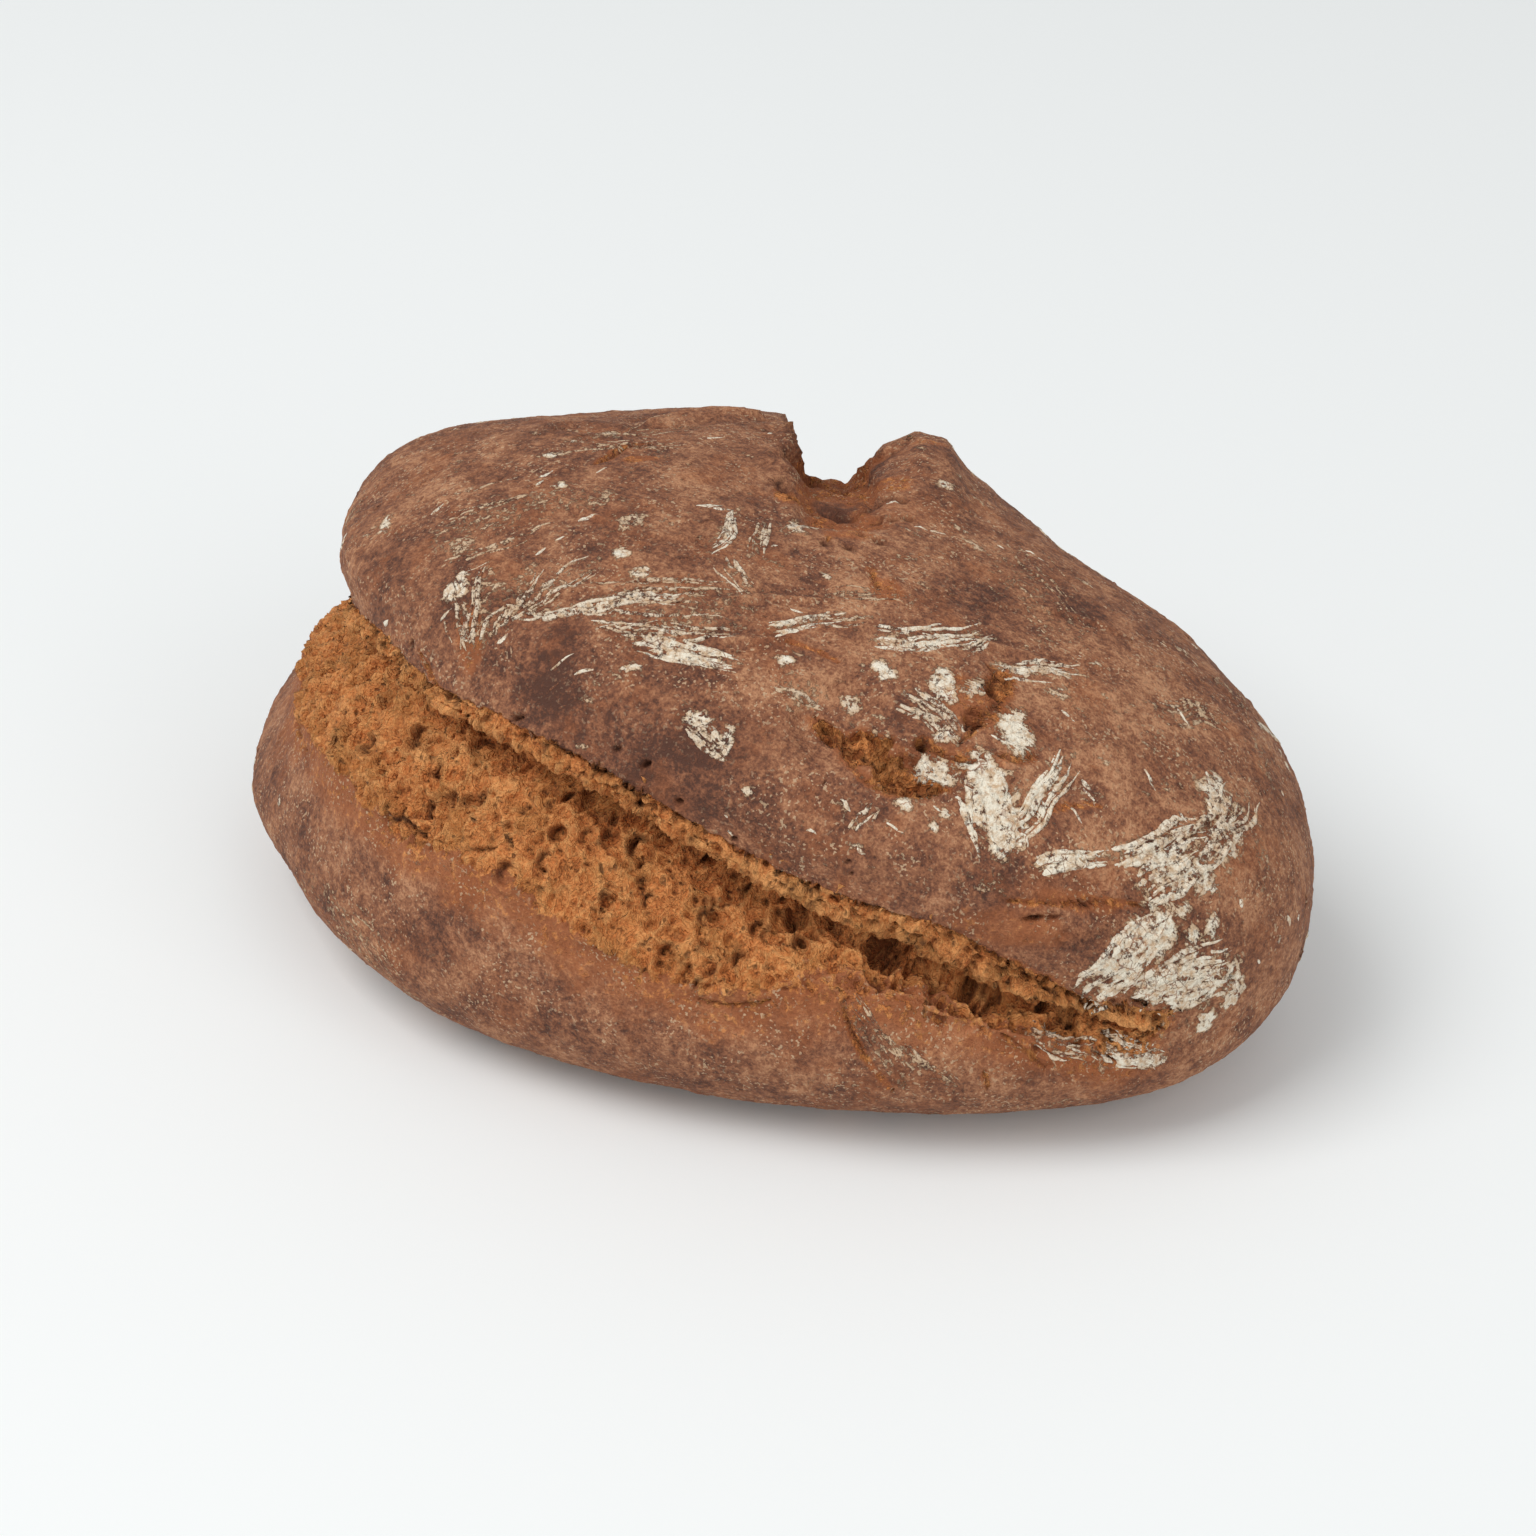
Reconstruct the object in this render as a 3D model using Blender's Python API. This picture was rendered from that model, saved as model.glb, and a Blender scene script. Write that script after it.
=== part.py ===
"""Oval rye bread loaf as one solid: plump lower side, long burst under the crust's lip, and a split crown.

The loaf lies on its flat base, +X along its length to the narrower end, -Y to the burst side, +Z up.
A point of the surface is named by its heading round the loaf (0 at +X, -90 at -Y) and by its shares:
how far out of the middle it is (1 on the outline) and how far up the dome it is
(0 on the widest line, 1 on the crown).
"""

import math

import bmesh
import bpy
import numpy as np
from mathutils import Vector, noise

MM = 0.001

# Plain loaf
HALF_LENGTH = 125.0 * MM
HALF_WIDTH = 91.3 * MM
HEIGHT = 99.6 * MM
WIDEST_LINE = 25.0 * MM
BASE_SHARE = 0.664
OUTLINE_POWER = 1.894
DOME_POWER = 2.55
END_TAPER = -0.104
CROWN_SHIFT = 10.1 * MM
CROWN_TILT_X = -0.208
CROWN_TILT_Y = -0.108

# Burst: heading, then height and inset from the outline, in millimetres, of its lower edge,
# of its groove and of the crust's edge above it
BURST = (
    (-215, 40, 1, 44, 3, 48, 3),
    (-195, 41, 4, 48, 13, 55, 11),
    (-175, 42, 8, 54, 22, 61, 20),
    (-159, 44, 10, 60, 26, 67, 23),
    (-148, 47, 9, 67, 26, 75, 22),
    (-135, 52, 8, 73, 24, 82, 20),
    (-120, 50, 6, 73, 22, 81, 17.5),
    (-106, 50, 5, 71, 22, 82, 17),
    (-93, 50, 4, 67, 22, 80.5, 16),
    (-80, 41, 3, 64, 21, 76.5, 15),
    (-66, 36, 2.5, 57, 20, 69, 14),
    (-54, 39, 3, 51, 18, 63.5, 12),
    (-44, 41, 3.5, 46, 15, 60, 9.5),
    (-35, 37, 3, 40, 13, 57, 7.5),
    (-28, 31, 2, 36, 10, 48, 6),
    (-21, 27, 1, 33, 7, 39.5, 4),
    (-12, 29, 0, 31, 1.5, 34, 0.8),
)
BURST_FADE = (-228.0, -200.0, -24.0, -11.0)
HEADING_BLUR = 6
RIDGE_DROP = 4.0 * MM
RIDGE_OUT = 0.5 * MM
BROW_OUT = 2.0 * MM
BROW_BULGE = 2.5 * MM
BROW_RISE = 24.0 * MM
BROW_BLEND = 4.0 * MM
BROW_START_SHARE = 0.35
BROW_FADE_SHARES = (0.9, 1.6)
LIP_DROOP = 1.5 * MM
DROOP_BELOW, DROOP_ABOVE = 6.0 * MM, 10.0 * MM
TORN_EDGE = (2.0 * MM, 3.0 * MM)

# Split that starts on the crown and opens down the back: how it runs, and its section from left to right
SPLIT_HEADING = math.radians(126.0)
SPLIT_WAY = (math.cos(SPLIT_HEADING), math.sin(SPLIT_HEADING))
SPLIT_LEFT = 6.0 * MM
SPLIT_MOUTH = (-11.0 * MM, -3.0 * MM, 4.0 * MM)
SPLIT_THROAT = (2.0 * MM, 52.0 * MM, 10.5 * MM)
SPLIT_LIP = (-5.0 * MM, 45.0 * MM, 7.0 * MM)
SPLIT_SECTION = ((-6, 0.0), (-1.5, 0.1), (2.5, -1.0), (12, -1.0), (28, 0.9), (34, 1.0), (38, 0.4), (46, 0.0))
SPLIT_COLUMNS = ((-9, -9), (-4, -1.8), (0.3, -1.3), (0.7, 2.3), (5, 2.8), (10, 10))
SPLIT_FOOT = (26.0 * MM, 52.0 * MM)

# Place where a scale of crust has come off, above the burst
SCALE_CENTRE = Vector((50.0, -47.0, 87.0)) * MM
SCALE_RADIUS = 11.0 * MM
SCALE_EDGE_SHARES = (0.6, 1.1)
SCALE_DEPTH = 2.2 * MM

# Swells and hollows of the whole loaf: centre, radius and height, in millimetres
SWELLS = (
    (-62, 24, 97, 34, -3.2),
    (-100, -8, 78, 34, 2.5),
    (42, 66, 66, 32, -3.6),
    (104, 42, 48, 42, 1.4),
    (112, -26, 18, 30, 1.6),
    (-78, -72, 10, 26, -1.6),
)

# Uneven surface: size of the humps and their height
HUMP_SIZE, HUMP_HEIGHT = 30.0 * MM, 0.9 * MM
CRAG_SIZE, CRAG_HEIGHT = 9.0 * MM, 1.8 * MM

# The cube that is blown up into the loaf: cuts across each face, and the lifts of its rows, in degrees,
# that become the base's edge and the widest line
CUTS = 30
BASE_EDGE_LIFT = -45.0
FULL_BUMP_LIFT = -28.0
WIDEST_LIFT = -24.0
GATHER = 0.15
ROW_SPACING = 4.6 * MM


def ramp(low, high, value):
    """0 below low, 1 above high and a smooth ramp between."""
    share = np.clip((value - low) / (high - low), 0.0, 1.0)
    return share * share * (3.0 - 2.0 * share)


def outline_radius(heading):
    """Distance from the middle to the widest line."""
    cosine, sine = np.cos(np.radians(heading)), np.sin(np.radians(heading))
    width = HALF_WIDTH * (1.0 + END_TAPER * cosine)
    total = np.abs(cosine / HALF_LENGTH) ** OUTLINE_POWER + np.abs(sine / width) ** OUTLINE_POWER
    return total ** (-1.0 / OUTLINE_POWER)


def level_direction(heading):
    radians = np.radians(heading)
    return np.stack([np.cos(radians), np.sin(radians), 0.0 * radians], axis=1)


def dome_shares(lift):
    """Shares out and up, evenly spaced along the dome's curve from the widest line to the crown."""
    angle = np.linspace(0.0, math.pi / 2, 2001)
    out, up = np.cos(angle) ** (2 / DOME_POWER), np.sin(angle) ** (2 / DOME_POWER)
    steps = np.hypot(np.diff(out) * HALF_LENGTH, np.diff(up) * (HEIGHT - WIDEST_LINE))
    length = np.concatenate([[0.0], np.cumsum(steps)])
    wanted = (lift - WIDEST_LIFT) / (90.0 - WIDEST_LIFT) * length[-1]
    return np.interp(wanted, length, up)


def plain_loaf(heading, lift, share_up):
    """Surface of the loaf before it bursts, and the dome's full rise above each point's place in plan."""
    turn = np.clip((WIDEST_LIFT - lift) / (WIDEST_LIFT - BASE_EDGE_LIFT), 0.0, 1.0) * math.pi / 2
    round_foot = BASE_SHARE + (1.0 - BASE_SHARE) * np.cos(turn)
    flat_base = BASE_SHARE * (lift + 90.0) / (BASE_EDGE_LIFT + 90.0)
    lower = np.where(lift > BASE_EDGE_LIFT, round_foot, flat_base)
    dome = (1.0 - share_up ** DOME_POWER) ** (1.0 / DOME_POWER)
    share_out = np.where(lift >= WIDEST_LIFT, dome, lower)
    points = level_direction(heading) * (outline_radius(heading) * share_out)[:, None]
    tilt = 1.0 + CROWN_TILT_X * points[:, 0] / HALF_LENGTH + CROWN_TILT_Y * points[:, 1] / HALF_WIDTH
    rise = (HEIGHT - WIDEST_LINE) * tilt
    points[:, 0] += CROWN_SHIFT * share_up
    points[:, 2] = WIDEST_LINE * (1.0 - np.sin(turn)) + rise * share_up
    return points, rise


def gathered(value, knot, spacing):
    """Pulls values within half a spacing of a knot close to it, so that a row of corners follows it."""
    away = np.abs(value - knot)
    near = away * GATHER
    beyond = np.interp(away, [spacing / 2, 2 * spacing], [GATHER * spacing / 2, 2 * spacing])
    pulled = np.where(away < spacing / 2, near, np.where(away < 2 * spacing, beyond, away))
    return knot + np.sign(value - knot) * pulled


def burst_sizes(heading):
    """The columns of BURST at each heading, in metres, blurred a little along the loaf."""
    table = np.array(BURST, float)
    steps = np.arange(-180.0, 180.0)
    window = np.hanning(2 * HEADING_BLUR + 3)
    columns = []
    for column in range(1, table.shape[1]):
        values = np.interp(steps, table[:, 0], table[:, column], period=360.0)
        padded = np.pad(values, HEADING_BLUR + 1, mode="wrap")
        values = np.convolve(padded, window / window.sum(), mode="valid")
        columns.append(np.interp(heading, steps, values, period=360.0) * MM)
    turned = np.where(heading > 0.5 * (table[0, 0] + 360.0 + table[-1, 0]), heading - 360.0, heading)
    start, full, fade, end = BURST_FADE
    strength = ramp(start, full, turned) * (1.0 - ramp(fade, end, turned))
    return columns, strength


def plain_inset(height, rise, radius):
    """How far inside the outline the plain dome is at a height."""
    share_up = np.clip((height - WIDEST_LINE) / rise, 0.0, 1.0)
    return radius * (1.0 - (1.0 - share_up ** DOME_POWER) ** (1.0 / DOME_POWER))


def ease(height, low, low_value, high, high_value):
    return low_value + (high_value - low_value) * ramp(low, high, height)


def burst_offset(height, rise, radius, sizes):
    """How far inwards the burst moves the plain dome's surface at a height."""
    low, low_in, groove, groove_in, edge, edge_in = sizes
    ridge = edge - RIDGE_DROP
    at_low = low_in - plain_inset(low, rise, radius)
    at_groove = groove_in - plain_inset(groove, rise, radius)
    at_ridge = edge_in - RIDGE_OUT - plain_inset(ridge, rise, radius)
    at_edge = edge_in - plain_inset(edge, rise, radius)
    plain = plain_inset(height, rise, radius)
    apart = plain - (edge_in - BROW_OUT)
    brow = 0.5 * (np.sqrt(apart ** 2 + BROW_BLEND ** 2) - apart)
    start_apart = plain_inset(edge, rise, radius) - (edge_in - BROW_OUT)
    brow_start = 0.5 * (np.sqrt(start_apart ** 2 + BROW_BLEND ** 2) - start_apart)
    above = (height - edge) / BROW_RISE
    brow += (at_edge - brow_start) * (1.0 - ramp(0.0, BROW_START_SHARE, above))
    brow -= BROW_BULGE * np.sin(math.pi * np.clip(above, 0.0, 1.0)) ** 2
    brow *= 1.0 - ramp(*BROW_FADE_SHARES, above)
    offset = ease(height, WIDEST_LINE, 0.0, low, at_low)
    offset = np.where(height > low, ease(height, low, at_low, groove, at_groove), offset)
    offset = np.where(height > groove, ease(height, groove, at_groove, ridge, at_ridge), offset)
    offset = np.where(height > ridge, ease(height, ridge, at_ridge, edge, at_edge), offset)
    return np.where(height > edge, brow, offset)


def split_places(points):
    """How far along the split and how far to the right of its left wall each point lies."""
    along = points[:, 0] * SPLIT_WAY[0] + points[:, 1] * SPLIT_WAY[1]
    aside = points[:, 0] * SPLIT_WAY[1] - points[:, 1] * SPLIT_WAY[0] - SPLIT_LEFT
    return along, aside


def follow_wall(points):
    """Shifts corners sideways so that rows of them run along the top and the foot of the split's wall."""
    along, aside = split_places(points)
    wanted = np.interp(aside / MM, *np.array(SPLIT_COLUMNS, float).T) * MM
    near = ramp(SPLIT_MOUTH[0], SPLIT_MOUTH[1], along) * ramp(*SPLIT_FOOT, points[:, 2])
    shift = np.where(np.abs(aside / MM) < SPLIT_COLUMNS[-1][0] - 1.0, wanted - aside, 0.0) * near
    return points + np.stack([shift * SPLIT_WAY[1], -shift * SPLIT_WAY[0], 0.0 * shift], axis=1)


def split_shift(points):
    """How far up or down the split moves each point, and how torn the surface is there."""
    along, aside = split_places(points)
    opened = ramp(*SPLIT_FOOT, points[:, 2])
    depth = SPLIT_MOUTH[2] * ramp(*SPLIT_MOUTH[:2], along) + SPLIT_THROAT[2] * ramp(*SPLIT_THROAT[:2], along)
    lip = SPLIT_LIP[2] * ramp(*SPLIT_LIP[:2], along)
    places = np.array([place for place, _ in SPLIT_SECTION]) * MM
    section = np.interp(aside, places, [level for _, level in SPLIT_SECTION])
    shift = np.where(section < 0.0, section * depth, section * lip) * opened
    return shift, ramp(1.0 * MM, 3.0 * MM, -shift)


def outward(points):
    """Roughly the way the loaf's surface faces at each point."""
    middle = np.array([0.0, 0.0, WIDEST_LINE])
    away = (points - middle) / np.array([HALF_LENGTH, HALF_WIDTH, HEIGHT]) ** 2
    return away / np.linalg.norm(away, axis=1, keepdims=True)


def hump(points, size, seed):
    """Smooth noise from -1 to 1, with features of the given size."""
    place = Vector((seed * 7.31, seed * 3.17, seed * 5.77))
    return np.array([noise.noise(Vector(point) / size + place) for point in points.tolist()])


def loaf_points(directions):
    """The loaf's surface along unit directions from its middle."""
    heading = np.degrees(np.arctan2(directions[:, 1], directions[:, 0]))
    lift = np.degrees(np.arcsin(np.clip(directions[:, 2], -1.0, 1.0)))
    share_up = np.where(lift > WIDEST_LIFT, dome_shares(lift), 0.0)
    points, rise = plain_loaf(heading, lift, share_up)
    sizes, strength = burst_sizes(heading)
    for knot in (sizes[2], sizes[4]):
        height = WIDEST_LINE + rise * share_up
        moved = (gathered(height, knot, ROW_SPACING) - height) / rise
        share_up = share_up + moved * strength * (lift > WIDEST_LIFT)
    points, rise = plain_loaf(heading, lift, share_up)
    points = follow_wall(points)
    height = points[:, 2].copy()
    strength = strength * (lift > WIDEST_LIFT)
    offset = burst_offset(height, rise, outline_radius(heading), sizes)
    shift, split = split_shift(points)
    opened = points - level_direction(heading) * (offset * strength)[:, None]
    above_edge = height - sizes[4]
    droop = ramp(-DROOP_BELOW, 0.0, above_edge) * (1.0 - ramp(0.0, DROOP_ABOVE, above_edge))
    opened[:, 2] += shift - LIP_DROOP * droop * strength
    torn = ramp(-TORN_EDGE[0], TORN_EDGE[1], height - sizes[0]) * (1.0 - ramp(-TORN_EDGE[1], 0.0, above_edge))
    torn = np.maximum(torn * strength, split)
    scale = np.linalg.norm((opened - np.array(SCALE_CENTRE)) / SCALE_RADIUS, axis=1)
    bumps = HUMP_HEIGHT * hump(opened, HUMP_SIZE, 1) + CRAG_HEIGHT * hump(opened, CRAG_SIZE, 2) * torn
    bumps -= SCALE_DEPTH * (1.0 - ramp(*SCALE_EDGE_SHARES, scale))
    for x, y, z, radius, swell_height in SWELLS:
        away = np.linalg.norm(opened / MM - np.array([x, y, z], float), axis=1) / radius
        bumps += swell_height * MM * (1.0 - ramp(0.0, 1.0, away))
    bumps *= ramp(BASE_EDGE_LIFT, FULL_BUMP_LIFT, lift)
    opened += outward(opened) * bumps[:, None]
    middle = 0.5 * (opened.min(axis=0) + opened.max(axis=0))
    return opened - np.array([middle[0], middle[1], 0.0])


def cube_grid():
    """A cube with each face cut into a grid."""
    grid = bmesh.new()
    bmesh.ops.create_cube(grid, size=2.0)
    bmesh.ops.subdivide_edges(grid, edges=grid.edges[:], cuts=CUTS, use_grid_fill=True)
    return grid


def grid_directions(grid):
    """Unit directions from the cube's middle to its corners, turned so that its rows run along the split."""
    spread = np.tan(np.array([corner.co for corner in grid.verts]) * math.pi / 4)
    turn = SPLIT_HEADING - math.pi / 2
    across = np.array([math.cos(turn), math.sin(turn), 0.0])
    along = np.array([-math.sin(turn), math.cos(turn), 0.0])
    turned = spread[:, :1] * across + spread[:, 1:2] * along + spread[:, 2:] * np.array([0.0, 0.0, 1.0])
    return turned / np.linalg.norm(turned, axis=1, keepdims=True)


def crust_material():
    material = bpy.data.materials.new("crust")
    material.use_nodes = True
    shader = material.node_tree.nodes["Principled BSDF"]
    shader.inputs["Base Color"].default_value = (0.27, 0.135, 0.085, 1.0)
    shader.inputs["Roughness"].default_value = 0.85
    shader.inputs["Metallic"].default_value = 0.0
    return material


def make_loaf():
    grid = cube_grid()
    for corner, place in zip(grid.verts, loaf_points(grid_directions(grid))):
        corner.co = place
    mesh = bpy.data.meshes.new("loaf")
    grid.to_mesh(mesh)
    grid.free()
    mesh.materials.append(crust_material())
    mesh.shade_smooth()
    loaf = bpy.data.objects.new("loaf", mesh)
    bpy.context.scene.collection.objects.link(loaf)


def main():
    for old in list(bpy.data.objects):
        bpy.data.objects.remove(old)
    make_loaf()


main()
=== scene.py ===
"""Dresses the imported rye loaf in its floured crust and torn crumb, and sets the studio stage.

The crust and crumb follow the same plain form, burst and split as the solid, on a much finer net,
and carry the relief and the finishes that the solid leaves out. Lengths in tables are in millimetres.
"""

import functools
import itertools
import math

import bpy
import numpy as np
from bpy.props import FloatProperty, FloatVectorProperty, PointerProperty
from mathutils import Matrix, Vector, bvhtree, kdtree, noise


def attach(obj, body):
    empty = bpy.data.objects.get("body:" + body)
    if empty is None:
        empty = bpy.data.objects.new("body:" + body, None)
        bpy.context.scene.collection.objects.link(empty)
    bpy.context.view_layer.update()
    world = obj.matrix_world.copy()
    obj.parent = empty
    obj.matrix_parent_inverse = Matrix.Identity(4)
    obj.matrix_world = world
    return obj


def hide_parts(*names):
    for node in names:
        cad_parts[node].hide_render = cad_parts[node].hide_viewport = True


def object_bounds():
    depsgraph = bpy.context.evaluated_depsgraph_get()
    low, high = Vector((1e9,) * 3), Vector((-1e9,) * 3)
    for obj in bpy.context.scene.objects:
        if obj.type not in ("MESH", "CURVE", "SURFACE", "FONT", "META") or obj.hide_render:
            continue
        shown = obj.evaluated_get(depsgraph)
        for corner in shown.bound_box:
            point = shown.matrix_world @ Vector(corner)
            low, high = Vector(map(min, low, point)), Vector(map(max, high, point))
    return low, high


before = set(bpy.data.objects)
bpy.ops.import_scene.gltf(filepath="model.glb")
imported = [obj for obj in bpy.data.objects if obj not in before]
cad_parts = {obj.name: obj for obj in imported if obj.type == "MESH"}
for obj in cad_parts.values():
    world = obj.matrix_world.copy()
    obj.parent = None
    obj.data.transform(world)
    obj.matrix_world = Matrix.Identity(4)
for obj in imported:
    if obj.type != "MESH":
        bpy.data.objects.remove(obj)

bl_info = {
    "name": "Rye bread loaf",
    "version": (1, 0, 0),
    "blender": (4, 5, 0),
    "location": "View3D > Sidebar > Loaf",
    "description": "Crust, crumb and flour of a torn rye loaf, and its studio stage",
    "category": "Object",
}

CAD_BOX = [list(corner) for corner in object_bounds()]
MM = 0.001

# The loaf's form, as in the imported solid
HALF_LENGTH = 125.0 * MM
HALF_WIDTH = 91.3 * MM
HEIGHT = 99.6 * MM
WIDEST_LINE = 25.0 * MM
BASE_SHARE = 0.664
OUTLINE_POWER = 1.894
DOME_POWER = 2.55
END_TAPER = -0.104
CROWN_SHIFT = 10.1 * MM
CROWN_TILT_X = -0.208
CROWN_TILT_Y = -0.108
PLAN_SHIFT = np.array([0.71, 0.03, 0.0]) * MM

# Burst: heading, then height and inset of its lower edge, of its groove and of the crust's edge
BURST = (
    (-215, 40, 1, 44, 3, 48, 3),
    (-195, 41, 4, 48, 13, 55, 11),
    (-175, 42, 8, 54, 22, 61, 20),
    (-159, 44, 10, 60, 26, 67, 23),
    (-148, 47, 9, 67, 26, 75, 22),
    (-135, 52, 8, 73, 24, 82, 20),
    (-120, 50, 6, 73, 22, 81, 17.5),
    (-106, 50, 5, 71, 22, 82, 17),
    (-93, 50, 4, 67, 22, 80.5, 16),
    (-80, 41, 3, 64, 21, 76.5, 15),
    (-66, 36, 2.5, 57, 20, 69, 14),
    (-54, 39, 3, 51, 18, 63.5, 12),
    (-44, 41, 3.5, 46, 15, 60, 9.5),
    (-35, 37, 3, 40, 13, 57, 7.5),
    (-28, 31, 2, 36, 10, 48, 6),
    (-21, 27, 1, 33, 7, 39.5, 4),
    (-12, 29, 0, 31, 1.5, 34, 0.8),
)
# Headings between which the burst opens, and between which it closes again
BURST_FADE = (-228.0, -200.0, -24.0, -11.0)
HEADING_BLUR = 6
RIDGE_DROP = 4.0 * MM
RIDGE_OUT = 0.5 * MM
BROW_OUT = 2.0 * MM
BROW_BULGE = 2.5 * MM
BROW_RISE = 24.0 * MM
BROW_BLEND = 4.0 * MM
LIP_DROOP = 1.5 * MM

# The split across the crown: its heading and left wall, then start, end and depth of its mouth,
# throat and lip, and its section as places to the right of the wall and shares of the depth
SPLIT_HEADING = math.radians(126.0)
SPLIT_WAY = (math.cos(SPLIT_HEADING), math.sin(SPLIT_HEADING))
SPLIT_LEFT = 6.0 * MM
SPLIT_MOUTH = (-11.0 * MM, -3.0 * MM, 4.0 * MM)
SPLIT_THROAT = (2.0 * MM, 52.0 * MM, 10.5 * MM)
SPLIT_LIP = (-5.0 * MM, 45.0 * MM, 7.0 * MM)
SPLIT_SECTION = ((-6, 0.0), (-1.5, 0.1), (2.5, -1.0), (12, -1.0), (28, 0.9), (34, 1.0), (38, 0.4), (46, 0.0))
SPLIT_FOOT = (26.0 * MM, 52.0 * MM)
SCALE_CENTRE = np.array([50.0, -47.0, 87.0]) * MM
SCALE_RADIUS = 11.0 * MM
SCALE_DEPTH = 2.2 * MM
# Swells and hollows of the dome: place, radius and height in millimetres
SWELLS = (
    (-62, 24, 97, 34, -3.2),
    (-100, -8, 78, 34, 2.5),
    (42, 66, 66, 32, -3.6),
    (104, 42, 48, 42, 1.4),
    (112, -26, 18, 30, 1.6),
    (-78, -72, 10, 26, -1.6),
)
HUMP_SIZE, HUMP_HEIGHT = 30.0 * MM, 0.9 * MM
CRAG_SIZE, CRAG_HEIGHT = 9.0 * MM, 1.8 * MM
BASE_EDGE_LIFT = -45.0
FULL_BUMP_LIFT = -28.0
FULL_RELIEF_LIFT = -42.0
WIDEST_LIFT = -24.0

# The fine net: columns round the loaf, and rows from the base up
COLUMNS = 1152
SEEN_HEADING = -55.0
SEEN_HALF = (95.0, 150.0)
HIDDEN_DENSITY = 0.42
CELL_SIZE = 6.0 * MM
BASE_ROWS, FOOT_ROWS, SIDE_ROWS = 8, 40, 28
SLOPE_ROWS, WALL_ROWS, RIDGE_ROWS, LIP_ROWS = 50, 15, 12, 9
BEHIND_ROWS = 5
LID_RINGS = COLUMNS // 8
UNDER_RINGS = 5

# The crust's ragged edge: how far above the burst's edge it may end, and where it mostly ends
LIP_ROOM = 2.6 * MM
RAG_MIDDLE, RAG_REACH = 0.7 * MM, 1.5 * MM
# The lip's underside: how far each ring past the edge sinks and goes in, in millimetres
UNDER_STEPS = (1, 2, 3, 4, 5)
UNDER_SINK = (0.35, 0.75, 0.9, 0.8, 0.6)
UNDER_BACK = (0.0, 0.3, 1.2, 2.6, 4.0)
BEHIND_STEP = 1.3 * MM

BUBBLE_COUNT, PORE_COUNT, LIP_PORE_COUNT, PORE_SEED = 90, 1200, 450, 7
FLOUR_SEED, FAR_SEED = 11, 23
FAR_PATCH_COUNT, FAR_HOLE_COUNT = 56, 12
# The torn crumb's cells: size, depth of their floors and seed of each kind, and the caves' webs
CRUMB_CELLS = ((5.6, 1.7, 80), (2.9, 0.7, 84))
CAVE_WEB_SIZE = 6.5 * MM
# The ridges: length of one step, section as shares of half width and height, and how much the flour widens them
RIDGE_STEP = 0.5 * MM
RIDGE_SECTION = ((-1.0, -1.0), (-0.6, 0.6), (0.0, 1.0), (0.55, 0.7), (1.0, -1.0))
RIDGE_WIDTH = 1.45
RIDGE_ROOT, RIDGE_SINK = 0.25 * MM, 0.04 * MM
SCATTERED_RIDGES = 120

# The camera: where it stands round the loaf, how high, how far from its aim, and its lens
CAMERA_AZIMUTH, CAMERA_ELEVATION = 35.06, 31.68
CAMERA_DISTANCE = 0.7831
CAMERA_AIM = Vector((3.0, -5.9, 39.4)) * MM
LENS, SENSOR = 85.0, 36.0
PICTURE = 1536

# The stage's lights, and the faint tints of the room and of the light table
KEY_PLACE, KEY_SIZE = (-0.6, -1.2, 2.05), 1.5
FILL_PLACE, FILL_SIZE = (1.7, -0.5, 1.1), 1.4
ROOM_TINT = (0.97, 0.99, 1.0, 1.0)
TABLE_TINT = (0.985, 1.0, 0.995, 1.0)


def ramp(low, high, value):
    """0 below low, 1 above high and a smooth ramp between."""
    share = np.clip((value - low) / (high - low), 0.0, 1.0)
    return share * share * (3.0 - 2.0 * share)


def linear(red, green, blue):
    """A screen colour from 0 to 255 as scene-linear light."""
    parts = [part / 255.0 for part in (red, green, blue)]
    return tuple(part / 12.92 if part <= 0.04045 else ((part + 0.055) / 1.055) ** 2.4 for part in parts)


def outline_radius(heading):
    cosine, sine = np.cos(np.radians(heading)), np.sin(np.radians(heading))
    width = HALF_WIDTH * (1.0 + END_TAPER * cosine)
    total = np.abs(cosine / HALF_LENGTH) ** OUTLINE_POWER + np.abs(sine / width) ** OUTLINE_POWER
    return total ** (-1.0 / OUTLINE_POWER)


def level_direction(heading):
    radians = np.radians(heading)
    return np.stack([np.cos(radians), np.sin(radians), 0.0 * radians], axis=-1)


def plain_loaf(heading, lift, share_up):
    """Surface of the loaf before it bursts, and the dome's full rise above each point's place in plan."""
    turn = np.clip((WIDEST_LIFT - lift) / (WIDEST_LIFT - BASE_EDGE_LIFT), 0.0, 1.0) * math.pi / 2
    round_foot = BASE_SHARE + (1.0 - BASE_SHARE) * np.cos(turn)
    flat_base = BASE_SHARE * (lift + 90.0) / (BASE_EDGE_LIFT + 90.0)
    lower = np.where(lift > BASE_EDGE_LIFT, round_foot, flat_base)
    dome = (1.0 - share_up ** DOME_POWER) ** (1.0 / DOME_POWER)
    share_out = np.where(lift >= WIDEST_LIFT, dome, lower)
    points = level_direction(heading) * (outline_radius(heading) * share_out)[..., None]
    tilt = 1.0 + CROWN_TILT_X * points[..., 0] / HALF_LENGTH + CROWN_TILT_Y * points[..., 1] / HALF_WIDTH
    rise = (HEIGHT - WIDEST_LINE) * tilt
    points[..., 0] += CROWN_SHIFT * share_up
    points[..., 2] = WIDEST_LINE * (1.0 - np.sin(turn)) + rise * share_up
    return points, rise


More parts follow.
